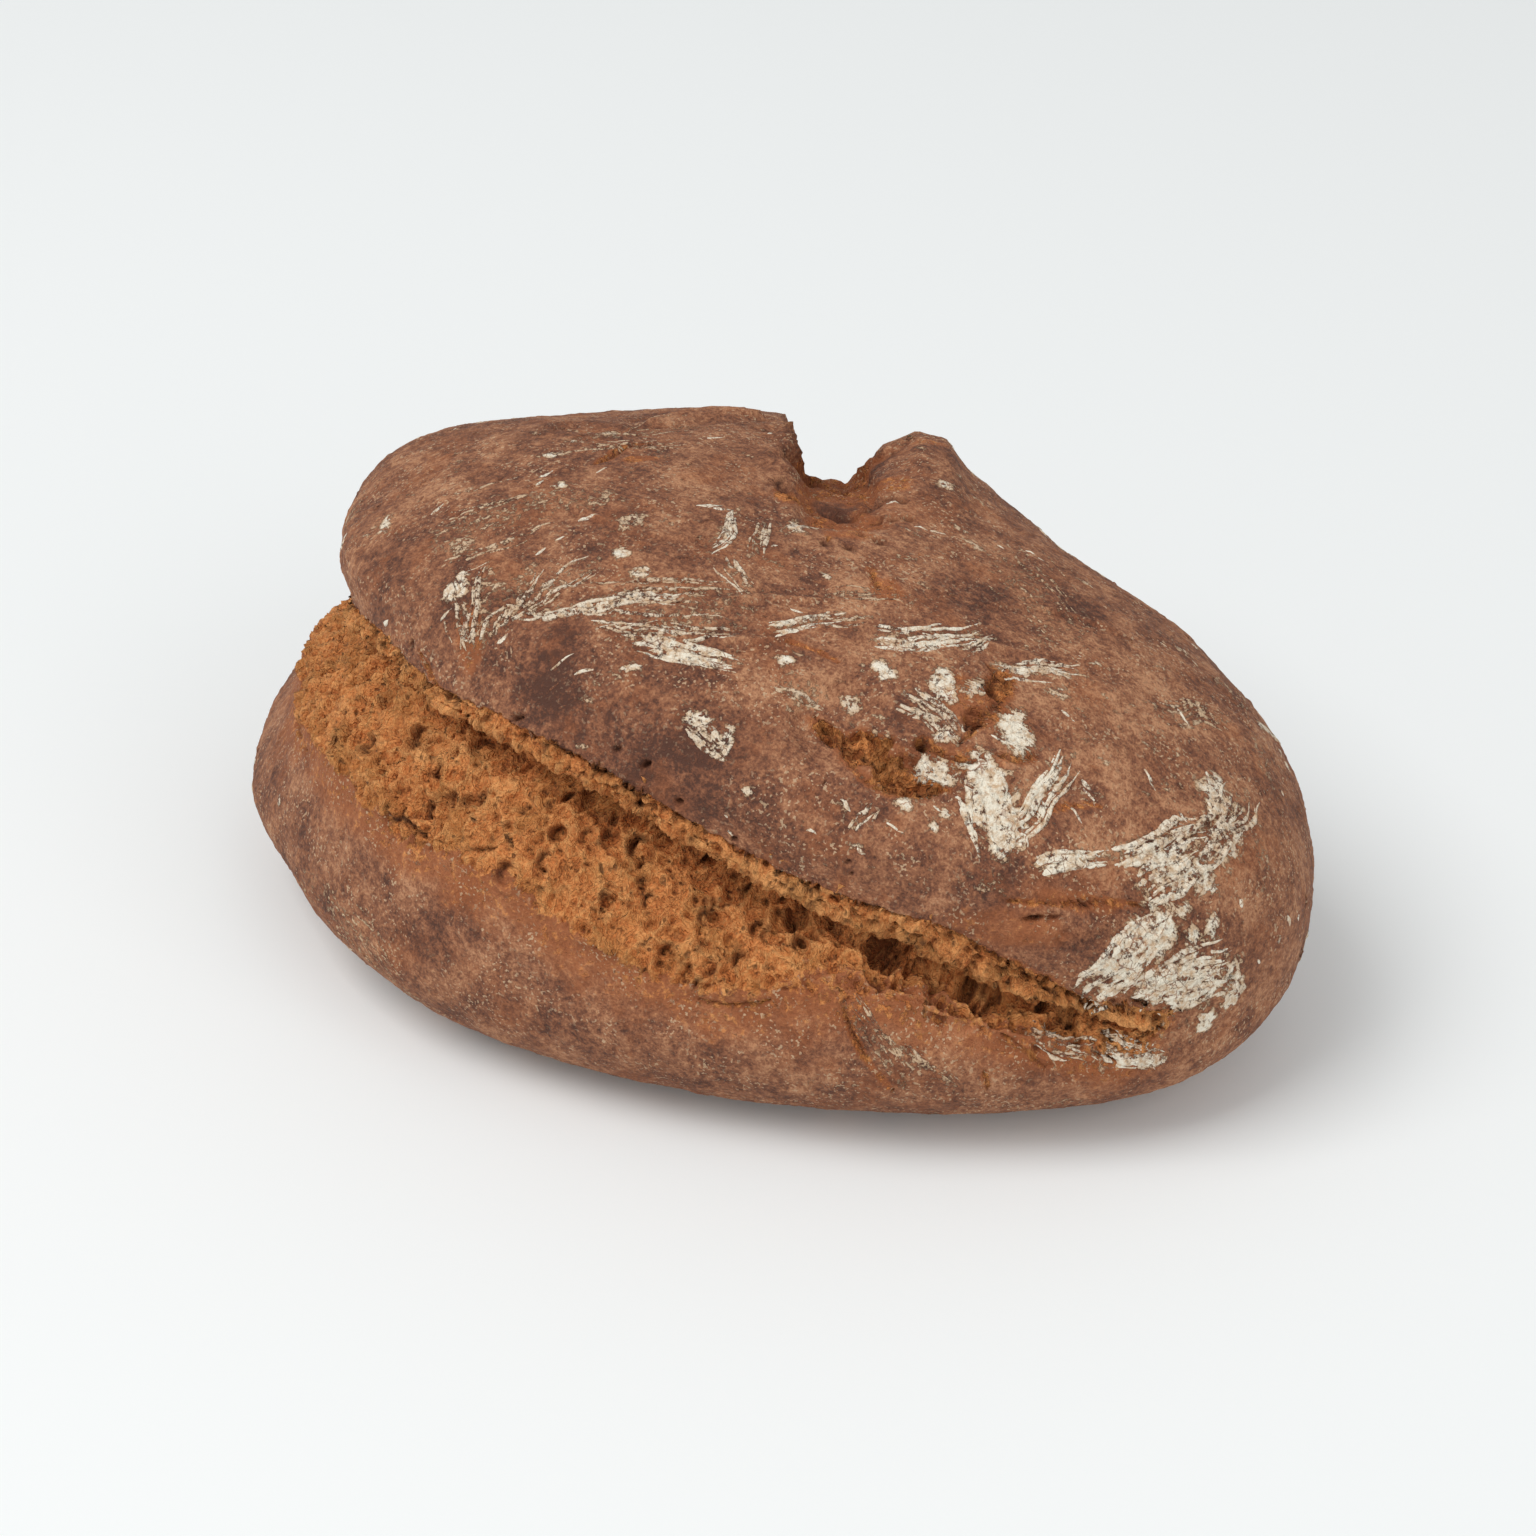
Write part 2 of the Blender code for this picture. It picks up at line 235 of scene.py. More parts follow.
def burst_sizes(heading):
    """The columns of BURST at each heading, in metres, blurred a little along the loaf."""
    table = np.array(BURST, float)
    steps = np.arange(-180.0, 180.0)
    window = np.hanning(2 * HEADING_BLUR + 3)
    columns = []
    for column in range(1, table.shape[1]):
        values = np.interp(steps, table[:, 0], table[:, column], period=360.0)
        padded = np.pad(values, HEADING_BLUR + 1, mode="wrap")
        values = np.convolve(padded, window / window.sum(), mode="valid")
        columns.append(np.interp(heading, steps, values, period=360.0) * MM)
    turned = np.where(heading > 0.5 * (table[0, 0] + 360.0 + table[-1, 0]), heading - 360.0, heading)
    start, full, fade, end = BURST_FADE
    strength = ramp(start, full, turned) * (1.0 - ramp(fade, end, turned))
    return columns, strength


def plain_inset(height, rise, radius):
    share_up = np.clip((height - WIDEST_LINE) / rise, 0.0, 1.0)
    return radius * (1.0 - (1.0 - share_up ** DOME_POWER) ** (1.0 / DOME_POWER))


def ease(height, low, low_value, high, high_value):
    return low_value + (high_value - low_value) * ramp(low, high, height)


def burst_offset(height, rise, radius, sizes):
    """How far inwards the burst moves the plain dome's surface at a height."""
    low, low_in, groove, groove_in, edge, edge_in = sizes
    ridge = edge - RIDGE_DROP
    at_low = low_in - plain_inset(low, rise, radius)
    at_groove = groove_in - plain_inset(groove, rise, radius)
    at_ridge = edge_in - RIDGE_OUT - plain_inset(ridge, rise, radius)
    at_edge = edge_in - plain_inset(edge, rise, radius)
    apart = plain_inset(height, rise, radius) - (edge_in - BROW_OUT)
    brow = 0.5 * (np.sqrt(apart ** 2 + BROW_BLEND ** 2) - apart)
    start_apart = plain_inset(edge, rise, radius) - (edge_in - BROW_OUT)
    brow_start = 0.5 * (np.sqrt(start_apart ** 2 + BROW_BLEND ** 2) - start_apart)
    above = (height - edge) / BROW_RISE
    brow += (at_edge - brow_start) * (1.0 - ramp(0.0, 0.35, above))
    brow -= BROW_BULGE * np.sin(math.pi * np.clip(above, 0.0, 1.0)) ** 2
    brow *= 1.0 - ramp(0.9, 1.6, above)
    offset = ease(height, WIDEST_LINE, 0.0, low, at_low)
    offset = np.where(height > low, ease(height, low, at_low, groove, at_groove), offset)
    offset = np.where(height > groove, ease(height, groove, at_groove, ridge, at_ridge), offset)
    offset = np.where(height > ridge, ease(height, ridge, at_ridge, edge, at_edge), offset)
    return np.where(height > edge, brow, offset)


def split_places(points):
    """How far along the split and how far to the right of its left wall each point lies."""
    along = points[..., 0] * SPLIT_WAY[0] + points[..., 1] * SPLIT_WAY[1]
    aside = points[..., 0] * SPLIT_WAY[1] - points[..., 1] * SPLIT_WAY[0] - SPLIT_LEFT
    return along, aside


def split_shift(points):
    """How far up or down the split moves each point."""
    along, aside = split_places(points)
    opened = ramp(*SPLIT_FOOT, points[..., 2])
    depth = SPLIT_MOUTH[2] * ramp(*SPLIT_MOUTH[:2], along) + SPLIT_THROAT[2] * ramp(*SPLIT_THROAT[:2], along)
    lip = SPLIT_LIP[2] * ramp(*SPLIT_LIP[:2], along)
    places = np.array([place for place, _ in SPLIT_SECTION]) * MM
    section = np.interp(aside, places, [level for _, level in SPLIT_SECTION])
    return np.where(section < 0.0, section * depth, section * lip) * opened


def outward(points):
    """Roughly the way the loaf's surface faces at each point."""
    middle = np.array([0.0, 0.0, WIDEST_LINE])
    away = (points - middle) / np.array([HALF_LENGTH, HALF_WIDTH, HEIGHT]) ** 2
    return away / np.linalg.norm(away, axis=-1, keepdims=True)


def hump(points, size, seed):
    """The solid's own smooth noise, from -1 to 1."""
    place = Vector((seed * 7.31, seed * 3.17, seed * 5.77))
    return np.array([noise.noise(Vector(point) / size + place) for point in points.tolist()])


def shaped(heading, lift, share_up, edge_side):
    """Points of the burst and split loaf, with the solid's humps and crags.

    edge_side is -1 for points below the crust's edge, +1 for points above it.
    """
    points, rise = plain_loaf(heading, lift, share_up)
    sizes, strength = burst_sizes(heading)
    height = points[..., 2].copy()
    strength = strength * (lift > WIDEST_LIFT)
    above_edge = height - sizes[4]
    looked_up = np.where(above_edge * edge_side < 0.0, sizes[4] + edge_side * 1e-7, height)
    offset = burst_offset(looked_up, rise, outline_radius(heading), sizes)
    shift = split_shift(points)
    opened = points - level_direction(heading) * (offset * strength)[..., None]
    droop = ramp(-6.0 * MM, 0.0, above_edge) * (1.0 - ramp(0.0, 10.0 * MM, above_edge))
    opened[..., 2] += shift - LIP_DROOP * droop * strength
    torn = ramp(-2.0 * MM, 3.0 * MM, height - sizes[0]) * (1.0 - ramp(-3.0 * MM, 0.0, above_edge))
    torn = np.maximum(torn * strength, ramp(1.0 * MM, 3.0 * MM, -shift))
    flat = opened.reshape(-1, 3)
    torn_flat = torn.reshape(-1)
    bumps = HUMP_HEIGHT * hump(flat, HUMP_SIZE, 1)
    rough = torn_flat > 0.0
    bumps[rough] += CRAG_HEIGHT * hump(flat[rough], CRAG_SIZE, 2) * torn_flat[rough]
    scale = np.linalg.norm((flat - SCALE_CENTRE) / SCALE_RADIUS, axis=1)
    bumps -= SCALE_DEPTH * (1.0 - ramp(0.6, 1.1, scale))
    for x, y, z, radius, swell_height in SWELLS:
        away = np.linalg.norm(flat / MM - np.array([x, y, z], float), axis=1) / radius
        bumps += swell_height * MM * (1.0 - ramp(0.0, 1.0, away))
    bumps = bumps.reshape(height.shape) * ramp(BASE_EDGE_LIFT, FULL_BUMP_LIFT, lift)
    opened += outward(opened) * bumps[..., None]
    return opened - PLAN_SHIFT


def column_headings():
    """Headings of the columns, closer together on the side that the burst is on."""
    steps = np.linspace(-180.0, 180.0, 3601)
    away = np.abs((steps - SEEN_HEADING + 180.0) % 360.0 - 180.0)
    density = HIDDEN_DENSITY + (1.0 - HIDDEN_DENSITY) * (1.0 - ramp(*SEEN_HALF, away))
    radius = outline_radius(steps)
    length = np.hypot(np.gradient(radius), radius * math.radians(0.1))
    total = np.concatenate([[0.0], np.cumsum(0.5 * (density * length)[1:] + 0.5 * (density * length)[:-1])])
    wanted = np.arange(COLUMNS) / COLUMNS * total[-1]
    return np.interp(wanted, total, steps)


def share_at_height(heading, height):
    """Share up the dome at which the plain loaf reaches a height."""
    share = np.full(heading.shape, 0.5)
    for _ in range(12):
        _, rise = plain_loaf(heading, np.zeros_like(heading), share)
        share = np.clip((height - WIDEST_LINE) / rise, 0.0, 0.999)
    return share


def arc_share(low, high, part):
    """Share up the dome that lies the given part of the way from low to high along the dome's curve."""
    angle = np.linspace(0.0, math.pi / 2, 2001)
    out, up = np.cos(angle) ** (2 / DOME_POWER), np.sin(angle) ** (2 / DOME_POWER)
    steps = np.hypot(np.diff(out) * 0.5 * (HALF_LENGTH + HALF_WIDTH), np.diff(up) * (HEIGHT - WIDEST_LINE))
    length = np.concatenate([[0.0], np.cumsum(steps)])
    start, end = np.interp(low, up, length), np.interp(high, up, length)
    return np.interp(start + (end - start) * part, length, up)


def heading_at(turn, headings):
    """Heading at a share of a full turn, counted in columns."""
    return np.interp(turn * COLUMNS, np.arange(COLUMNS + 1), np.append(headings, headings[0] + 360.0))


# Noise
def cell_number(x, y, z, seed):
    """A repeatable whole number for each cell of space."""
    mixed = x * np.uint32(374761393) + y * np.uint32(668265263) + z * np.uint32(3266489917)
    mixed = mixed + np.uint32(seed * 2246822519 % 2 ** 32)
    mixed = (mixed ^ (mixed >> np.uint32(13))) * np.uint32(1274126177)
    return mixed ^ (mixed >> np.uint32(16))


def mist(points, size, seed):
    """Smooth noise from about -1 to 1, with features of the given size."""
    place = points / size + seed * 17.13 + 500.0
    cell = np.floor(place)
    inside = place - cell
    smooth = inside ** 3 * (inside * (inside * 6.0 - 15.0) + 10.0)
    cell = cell.astype(np.int64).astype(np.uint32)
    total = np.zeros(len(points))
    for corner in range(8):
        step = np.array([corner & 1, corner >> 1 & 1, corner >> 2])
        mixed = cell_number(*(cell + step.astype(np.uint32)).T, seed)
        slope = [(mixed >> np.uint32(shift) & np.uint32(255)) / 127.5 - 1.0 for shift in (0, 8, 16)]
        weight = np.prod(np.where(step, smooth, 1.0 - smooth), axis=1)
        away = inside - step
        total += weight * (slope[0] * away[:, 0] + slope[1] * away[:, 1] + slope[2] * away[:, 2])
    return total * 1.4


def layered(points, size, seed, layers=3):
    """Noise with finer noise on it."""
    total, share, weights = 0.0, 1.0, 0.0
    for layer in range(layers):
        total = total + share * mist(points, size / 2.1 ** layer, seed + 31 * layer)
        weights += share
        share *= 0.5
    return total / weights * 1.4


def cell_walls(points, size, seed):
    """How near each point is to the walls between cells of about this size: 1 at a wall, 0 well inside."""
    scaled = points / size + 500.0
    base = np.floor(scaled).astype(np.int64)
    first, second = np.full(len(points), 9.0), np.full(len(points), 9.0)
    for step in itertools.product((-1, 0, 1), repeat=3):
        cell = base + step
        mixed = cell_number(*cell.astype(np.uint32).T, seed)
        jitter = np.stack([(mixed >> np.uint32(shift) & np.uint32(255)) / 127.5 - 1.0 for shift in (0, 8, 16)], axis=1)
        away = np.linalg.norm(scaled - cell - 0.5 - 0.42 * jitter, axis=1)
        second = np.minimum(second, np.maximum(first, away))
        first = np.minimum(first, away)
    return 1.0 - ramp(0.02, 0.34, second - first)


# The net
def ring_parameters(headings):
    """Heading, lift, share up and side of the crust's edge, for each row from the base's middle to the lip."""
    sizes, strength = burst_sizes(headings)
    low, groove, edge = sizes[0], sizes[2], sizes[4]
    ridge = np.maximum(edge - RIDGE_DROP, groove + 0.3 * MM)
    edge = np.maximum(edge, ridge + 0.3 * MM)
    top = edge + LIP_ROOM * np.maximum(strength, 0.05)
    lift = [-90.0 + 45.0 * row / BASE_ROWS for row in range(BASE_ROWS)]
    lift += [BASE_EDGE_LIFT + (WIDEST_LIFT - BASE_EDGE_LIFT) * row / FOOT_ROWS for row in range(FOOT_ROWS)]
    share = [np.zeros(COLUMNS) for _ in lift]
    share_low = share_at_height(headings, low)
    for row in range(SIDE_ROWS):
        share.append(arc_share(np.zeros(COLUMNS), share_low, row / SIDE_ROWS))
        lift.append(0.0)
    for start, end, count in ((low, groove, SLOPE_ROWS), (groove, ridge, WALL_ROWS), (ridge, edge, RIDGE_ROWS)):
        for row in range(count):
            share.append(share_at_height(headings, start + (end - start) * row / count))
            lift.append(0.0)
    for row in range(LIP_ROWS + 1):
        share.append(share_at_height(headings, edge + (top - edge) * min(row / BEHIND_ROWS, 1.0)))
        lift.append(0.0)
    side = np.full(len(lift), -1.0)
    side[len(lift) - LIP_ROWS:] = 1.0
    count = len(lift)
    return (np.tile(headings, (count, 1)), np.repeat(np.array(lift)[:, None], COLUMNS, axis=1),
            np.array(share), np.repeat(side[:, None], COLUMNS, axis=1))


def lid_places():
    """Ring and share of a turn of each corner of the lid's square net."""
    reach = LID_RINGS + UNDER_RINGS
    across, up = np.meshgrid(np.arange(-reach, reach + 1), np.arange(-reach, reach + 1))
    ring = np.maximum(np.abs(across), np.abs(up))
    place = np.where(up == -ring, 6 * ring + across + ring, 0)
    place = np.where(across == -ring, 4 * ring + ring - up, place)
    place = np.where(up == ring, 2 * ring + ring - across, place)
    place = np.where((across == ring) & (up < ring), up + ring, place)
    return ring, place / np.maximum(8.0 * ring, 1.0) % 1.0


def ragged(heading):
    """How far above the burst's edge the crust ends, in metres."""
    around = level_direction(heading).reshape(-1, 3) * outline_radius(heading).reshape(-1, 1)
    wander = 0.5 * layered(around, 9.0 * MM, 5) + 0.5 * layered(around, 3.0 * MM, 6)
    return (RAG_MIDDLE + RAG_REACH * wander).reshape(heading.shape)


def lid_surface(headings):
    """Points of the lid's net, their rings and headings, and how far the burst has opened at each."""
    ring, turn = lid_places()
    heading = heading_at(turn, headings)
    sizes, strength = burst_sizes(heading)
    ridge = np.maximum(sizes[4] - RIDGE_DROP, sizes[2] + 0.3 * MM)
    edge = np.maximum(sizes[4], ridge + 0.3 * MM)
    border = share_at_height(heading, edge + ragged(heading) * strength)
    share = arc_share(border, np.ones_like(border), 1.0 - np.minimum(ring / LID_RINGS, 1.0))
    points = shaped(heading, np.zeros_like(heading), share, np.ones_like(heading))
    return points, ring, heading, strength


def quads(index, flip=False):
    """Faces of a net of corner numbers, as four columns."""
    corners = [index[:-1, :-1], index[:-1, 1:], index[1:, 1:], index[1:, :-1]]
    if flip:
        corners.reverse()
    return np.stack([corner.ravel() for corner in corners], axis=1)


def corner_normals(points, faces):
    """Normal at each corner, from the faces round it."""
    across = points[faces[:, 2]] - points[faces[:, 0]]
    along = points[faces[:, 3]] - points[faces[:, 1]]
    facing = np.cross(across, along)
    total = np.zeros_like(points)
    for corner in range(4):
        for axis in range(3):
            total[:, axis] += np.bincount(faces[:, corner], facing[:, axis], len(points))
    return total / np.maximum(np.linalg.norm(total, axis=1, keepdims=True), 1e-15)


class Surface:
    """Every corner of the loaf's fine surface, with what is known about its finish."""

    def __init__(self):
        headings = column_headings()
        heading, lift, share, side = ring_parameters(headings)
        ring_points = shaped(heading, lift, share, side)
        self.rows = len(lift)
        lid_points, ring, lid_heading, lid_strength = lid_surface(headings)
        self.ring_index = np.arange(self.rows * COLUMNS).reshape(self.rows, COLUMNS)
        self.ring_index = np.concatenate([self.ring_index, self.ring_index[:, :1]], axis=1)
        self.lid_index = self.rows * COLUMNS + np.arange(ring.size).reshape(ring.shape)
        self.lid_ring = ring
        self.points = np.concatenate([ring_points.reshape(-1, 3), lid_points.reshape(-1, 3)])
        self.on_lid = np.arange(len(self.points)) >= self.rows * COLUMNS
        self.faces = np.concatenate([quads(self.ring_index), quads(self.lid_index)])
        self.heading = np.concatenate([heading.ravel(), lid_heading.ravel()])
        strength = np.tile(burst_sizes(headings)[1], (self.rows, 1))
        self.strength = np.concatenate([strength.ravel(), lid_strength.ravel()])
        self.lift = np.concatenate([lift.ravel(), np.zeros(ring.size)])
        self.first_burst_row = BASE_ROWS + FOOT_ROWS + SIDE_ROWS
        self.edge_row = self.rows - 1 - LIP_ROWS
        row = np.repeat(np.arange(self.rows), COLUMNS)
        self.row = np.concatenate([row, np.full(ring.size, self.rows)])
        self.ring = np.concatenate([np.full(len(row), LID_RINGS + UNDER_RINGS), ring.ravel()])
        self.normals = corner_normals(self.points, self.faces)
        self.lengths()
        self.sort_cells()
        count = len(self.points)
        self.relief = np.zeros(count)
        self.crumb = np.zeros(count)
        self.flour = np.zeros(count)
        # The shade holds the surface's own darker and paler tones together with painted light and shade that follow its
        # relief
        self.shade = np.full(count, 0.5)
        # Painted shade in holes, pores, cracks and caves, from none to full
        self.pit_shade = np.zeros(count)
        self.project()

    def lengths(self):
        """Distance up each column, and round the loaf, for noise that is stretched along them."""
        net = self.points[:self.rows * COLUMNS].reshape(self.rows, COLUMNS, 3)
        steps = np.linalg.norm(np.diff(net, axis=0), axis=2)
        up = np.concatenate([np.zeros((1, COLUMNS)), np.cumsum(steps, axis=0)])
        up = up - up[self.first_burst_row]
        around = np.concatenate([[0.0], np.cumsum(np.linalg.norm(np.diff(net[self.first_burst_row], axis=0), axis=1))])
        self.up = np.concatenate([up.ravel(), np.zeros(self.lid_index.size)])
        self.around = np.concatenate([np.tile(around, self.rows), np.zeros(self.lid_index.size)])

    def project(self):
        """Places of the corners in the photograph, and which of them face the camera."""
        azimuth, elevation = math.radians(CAMERA_AZIMUTH), math.radians(CAMERA_ELEVATION)
        back = np.array([math.sin(azimuth) * math.cos(elevation), -math.cos(azimuth) * math.cos(elevation),
                         math.sin(elevation)])
        right = np.array([math.cos(azimuth), math.sin(azimuth), 0.0])
        upward = np.cross(back, right)
        from_camera = self.points - (np.array(CAMERA_AIM) + back * CAMERA_DISTANCE)
        depth = -(from_camera @ back)
        scale = LENS / SENSOR * PICTURE / depth
        self.pixel = np.stack([PICTURE / 2 + scale * (from_camera @ right),
                               PICTURE / 2 - scale * (from_camera @ upward)], axis=1)
        self.depth = depth
        facing = -np.einsum("ij,ij->i", self.normals, from_camera) / np.linalg.norm(from_camera, axis=1)
        self.facing = (facing > 0.14) & (self.ring != LID_RINGS + UNDER_RINGS) | (facing > 0.12) & ~self.on_lid
        self.seen = np.flatnonzero(self.facing & (self.row <= self.edge_row) | self.facing & self.on_lid
                                   & (self.ring <= LID_RINGS))

    def place(self, x, y):
        """The point of the surface that shows at a pixel of the photograph, and its number."""
        away = np.hypot(*(self.pixel[self.seen] - (x, y)).T)
        near = np.flatnonzero(away < max(away.min() + 1.0, 4.0))
        best = near[np.argmin(self.depth[self.seen][near] * 250.0 + away[near] * 0.25)]
        number = self.seen[best]
        return self.points[number], number

    def sort_cells(self):
        """Sorts the corners into cubic cells, so that those near a place are found quickly."""
        cells = np.floor(self.points / CELL_SIZE).astype(int) + 64
        keys = (cells[:, 0] * 128 + cells[:, 1]) * 128 + cells[:, 2]
        order = np.argsort(keys, kind="stable")
        found, starts = np.unique(keys[order], return_index=True)
        self.cells = dict(zip(found.tolist(), np.split(order, starts[1:])))

    def within(self, low, high):
        """Numbers of the corners inside a box."""
        first = np.floor(low / CELL_SIZE).astype(int) + 64
        last = np.floor(high / CELL_SIZE).astype(int) + 64
        parts = [np.zeros(0, int)]
        for x in range(first[0], last[0] + 1):
            for y in range(first[1], last[1] + 1):
                for z in range(first[2], last[2] + 1):
                    parts.append(self.cells.get((x * 128 + y) * 128 + z, parts[0]))
        near = np.concatenate(parts)
        inside = np.all((self.points[near] > low) & (self.points[near] < high), axis=1)
        return near[inside]


# Marks that the photograph shows, placed by its pixels
# Holes: place, half length and half width in millimetres, turn in degrees, depth in millimetres
HOLES = (
    (566, 795, 2.2, 1.1, 20, 3.2), (638, 806, 2.8, 0.9, 8, 2.6), (680, 801, 1.2, 0.9, 0, 2.2),
    (543, 869, 1.0, 0.8, 0, 1.8), (641, 863, 1.4, 0.9, 60, 2.2), (641, 881, 1.3, 0.8, 40, 2.0),
    (369, 640, 2.8, 2.2, 70, 3.6), (352, 700, 0.8, 0.7, 0, 1.4), (468, 716, 1.0, 0.8, 0, 1.6),
    (412, 646, 0.8, 1.5, 0, 1.6), (618, 749, 1.2, 0.7, 20, 1.6), (645, 765, 1.8, 0.9, 30, 2.4),
    (518, 718, 2.4, 0.8, 10, 2.0), (510, 841, 0.5, 2.4, 30, 1.6), (1086, 903, 2.2, 0.6, 4, 1.6),
    (1036, 918, 2.6, 0.5, 4, 1.6), (848, 863, 0.8, 0.6, 0, 1.2), (852, 873, 0.6, 0.5, 0, 1.0),
    (1230, 977, 1.3, 1.1, 30, 2.0), (1182, 786, 0.6, 0.5, 0, 1.0), (1306, 900, 0.5, 1.6, 10, 1.2),
    (872, 925, 2.0, 1.2, 20, 3.2), (917, 938, 1.8, 1.2, 10, 3.2), (958, 960, 1.5, 1.1, 60, 2.8),
    (971, 966, 1.1, 1.6, 20, 2.6), (936, 986, 1.4, 1.0, 20, 2.6), (944, 976, 1.1, 0.7, 20, 2.2),
    (1040, 1010, 1.6, 1.1, 10, 2.6), (1068, 1026, 1.3, 0.7, 0, 1.8), (1006, 984, 1.2, 0.9, 0, 2.0),
    (780, 900, 1.4, 0.7, 30, 1.8), (705, 862, 1.6, 0.8, 40, 2.2), (745, 888, 1.3, 0.7, 40, 2.0),
    (600, 772, 1.8, 1.0, 20, 2.2), (562, 752, 1.3, 0.7, 30, 1.8), (735, 838, 1.1, 0.6, 30, 1.6),
    (786, 487, 2.2, 3.0, 0, 2.6), (779, 480, 1.6, 2.0, 0, 1.8), (793, 493, 1.6, 2.0, 0, 1.8),
    (922, 743, 1.6, 1.3, 0, 2.2), (838, 514, 5.0, 4.4, 4, 3.2), (968, 728, 1.5, 1.0, 60, 1.6),
    (858, 500, 1.7, 2.1, 0, 2.0), (875, 505, 1.6, 2.0, 0, 1.9), (887, 497, 1.8, 2.2, 0, 2.1),
    (903, 501, 1.4, 2.2, 0, 1.7), (880, 541, 1.5, 1.9, 0, 1.8), (877, 520, 1.6, 1.9, 0, 1.7),
    (827, 542, 1.6, 1.8, 0, 1.6), (860, 533, 1.5, 1.8, 0, 1.6), (908, 518, 1.5, 1.8, 0, 1.6),
    (978, 958, 1.6, 1.1, 20, 2.6), (1002, 970, 1.9, 1.1, -20, 2.8), (1026, 978, 1.5, 1.0, -20, 2.4),
    (1050, 990, 1.6, 0.8, -20, 2.2), (930, 948, 1.7, 1.0, -30, 2.4), (950, 970, 1.3, 1.0, 0, 2.2),
    (866, 512, 1.6, 1.7, -30, 1.7), (893, 517, 1.4, 1.8, 20, 1.6), (850, 548, 1.4, 1.8, 0, 1.5),
    (825, 783, 0.5, 0.4, 0, 0.8), (500, 478, 0.5, 0.4, 0, 0.8), (690, 465, 0.4, 0.4, 0, 0.7),
)
# Bubble floors: place, half length and half width in millimetres, turn, depth
BUBBLES = (
    (369, 746, 2.6, 3.4, 20, 1.6), (418, 739, 3.6, 3.0, 40, 1.7), (335, 745, 1.8, 2.8, 0, 1.7),
    (560, 835, 2.3, 2.2, 0, 1.4), (640, 850, 3.0, 3.2, 20, 1.5), (710, 920, 2.6, 2.3, 0, 1.4),
    (312, 682, 2.2, 1.9, 0, 1.4), (505, 875, 2.6, 3.2, 30, 1.4), (545, 862, 2.2, 2.4, 0, 1.3),
    (610, 905, 3.2, 1.6, -50, 1.3), (760, 930, 2.2, 1.9, 0, 1.3), (670, 950, 2.4, 1.7, 0, 1.2),
    (455, 800, 2.4, 1.9, 0, 0.9), (700, 985, 2.0, 1.6, 0, 1.0), (590, 835, 2.0, 1.7, 0, 1.0),
    (440, 770, 2.2, 1.6, 30, 0.9), (480, 800, 1.8, 2.2, 0, 0.8), (800, 945, 2.0, 2.6, 0, 1.2),
    (740, 960, 1.8, 2.4, 10, 1.1), (650, 905, 1.6, 2.6, 10, 1.2), (820, 905, 2.4, 1.6, 20, 1.2),
)
# Caves in the right part of the burst: place, half length and half width, turn, depth
CAVES = (
    (889, 962, 6.4, 10.2, 18, 2.8), (964, 984, 7.0, 9.0, 40, 3.0), (1075, 1010, 12.0, 3.0, -6, 2.6),
    (1130, 1002, 6.0, 1.6, -4, 2.0), (1042, 919, 5.5, 0.8, 4, 1.4), (369, 650, 4.0, 5.0, 60, 2.4),
    (800, 930, 3.6, 5.4, 20, 2.4), (1046, 1058, 1.6, 4.2, 40, 1.4),
)
# Cracks: half width and depth in millimetres, then the pixels that they pass through
CRACKS = (
    (0.9, 1.6, (387, 806), (392, 822), (400, 815), (412, 826), (425, 838)),
    (0.8, 1.7, (595, 463), (610, 454), (625, 447), (648, 444)),
    (0.6, 1.0, (803, 499), (815, 512), (828, 538)), (0.6, 1.0, (870, 565), (872, 574), (880, 588)),
    (0.6, 0.9, (840, 990), (848, 1022), (863, 1053), (892, 1091)),
    (0.7, 1.2, (988, 664), (996, 676), (990, 690), (1002, 700), (985, 712), (972, 730), (962, 742)),
    (0.6, 1.2, (922, 735), (935, 752), (958, 760), (975, 762)), (0.6, 1.2, (1000, 755), (1020, 762), (1036, 756)),
    (0.5, 0.8, (1003, 1034), (1025, 1050), (1045, 1069)), (0.5, 0.8, (984, 1072), (988, 1090)),
    (0.5, 0.8, (1095, 1052), (1115, 1060)), (0.6, 1.2, (440, 840), (470, 850), (498, 848)),
    (0.5, 0.9, (700, 1000), (730, 1008), (770, 1000)), (0.6, 1.2, (300, 700), (296, 730), (306, 752)),
    (0.5, 0.8, (1010, 900), (1050, 905), (1100, 900), (1140, 905)), (0.4, 0.6, (1035, 812), (1070, 804), (1100, 806)),
    (0.5, 0.8, (420, 650), (440, 690), (470, 720)), (0.4, 0.7, (786, 640), (812, 648), (838, 660)),
    (0.6, 1.0, (815, 716), (838, 742), (850, 770), (880, 792), (930, 797)),
)
# Torn patches above the burst: place, half length and half width, turn, depth
TORN_PATCHES = (
    (832, 735, 4.6, 1.8, -42, 1.0), (868, 752, 5.2, 4.2, -20, 1.6), (900, 772, 5.4, 4.4, -10, 1.8),
    (925, 790, 4.0, 1.4, 0, 1.2), (1000, 690, 2.6, 5.4, -20, 0.9), (975, 716, 2.6, 2.2, 40, 1.0),
    (922, 744, 1.8, 1.6, 0, 1.2),
)
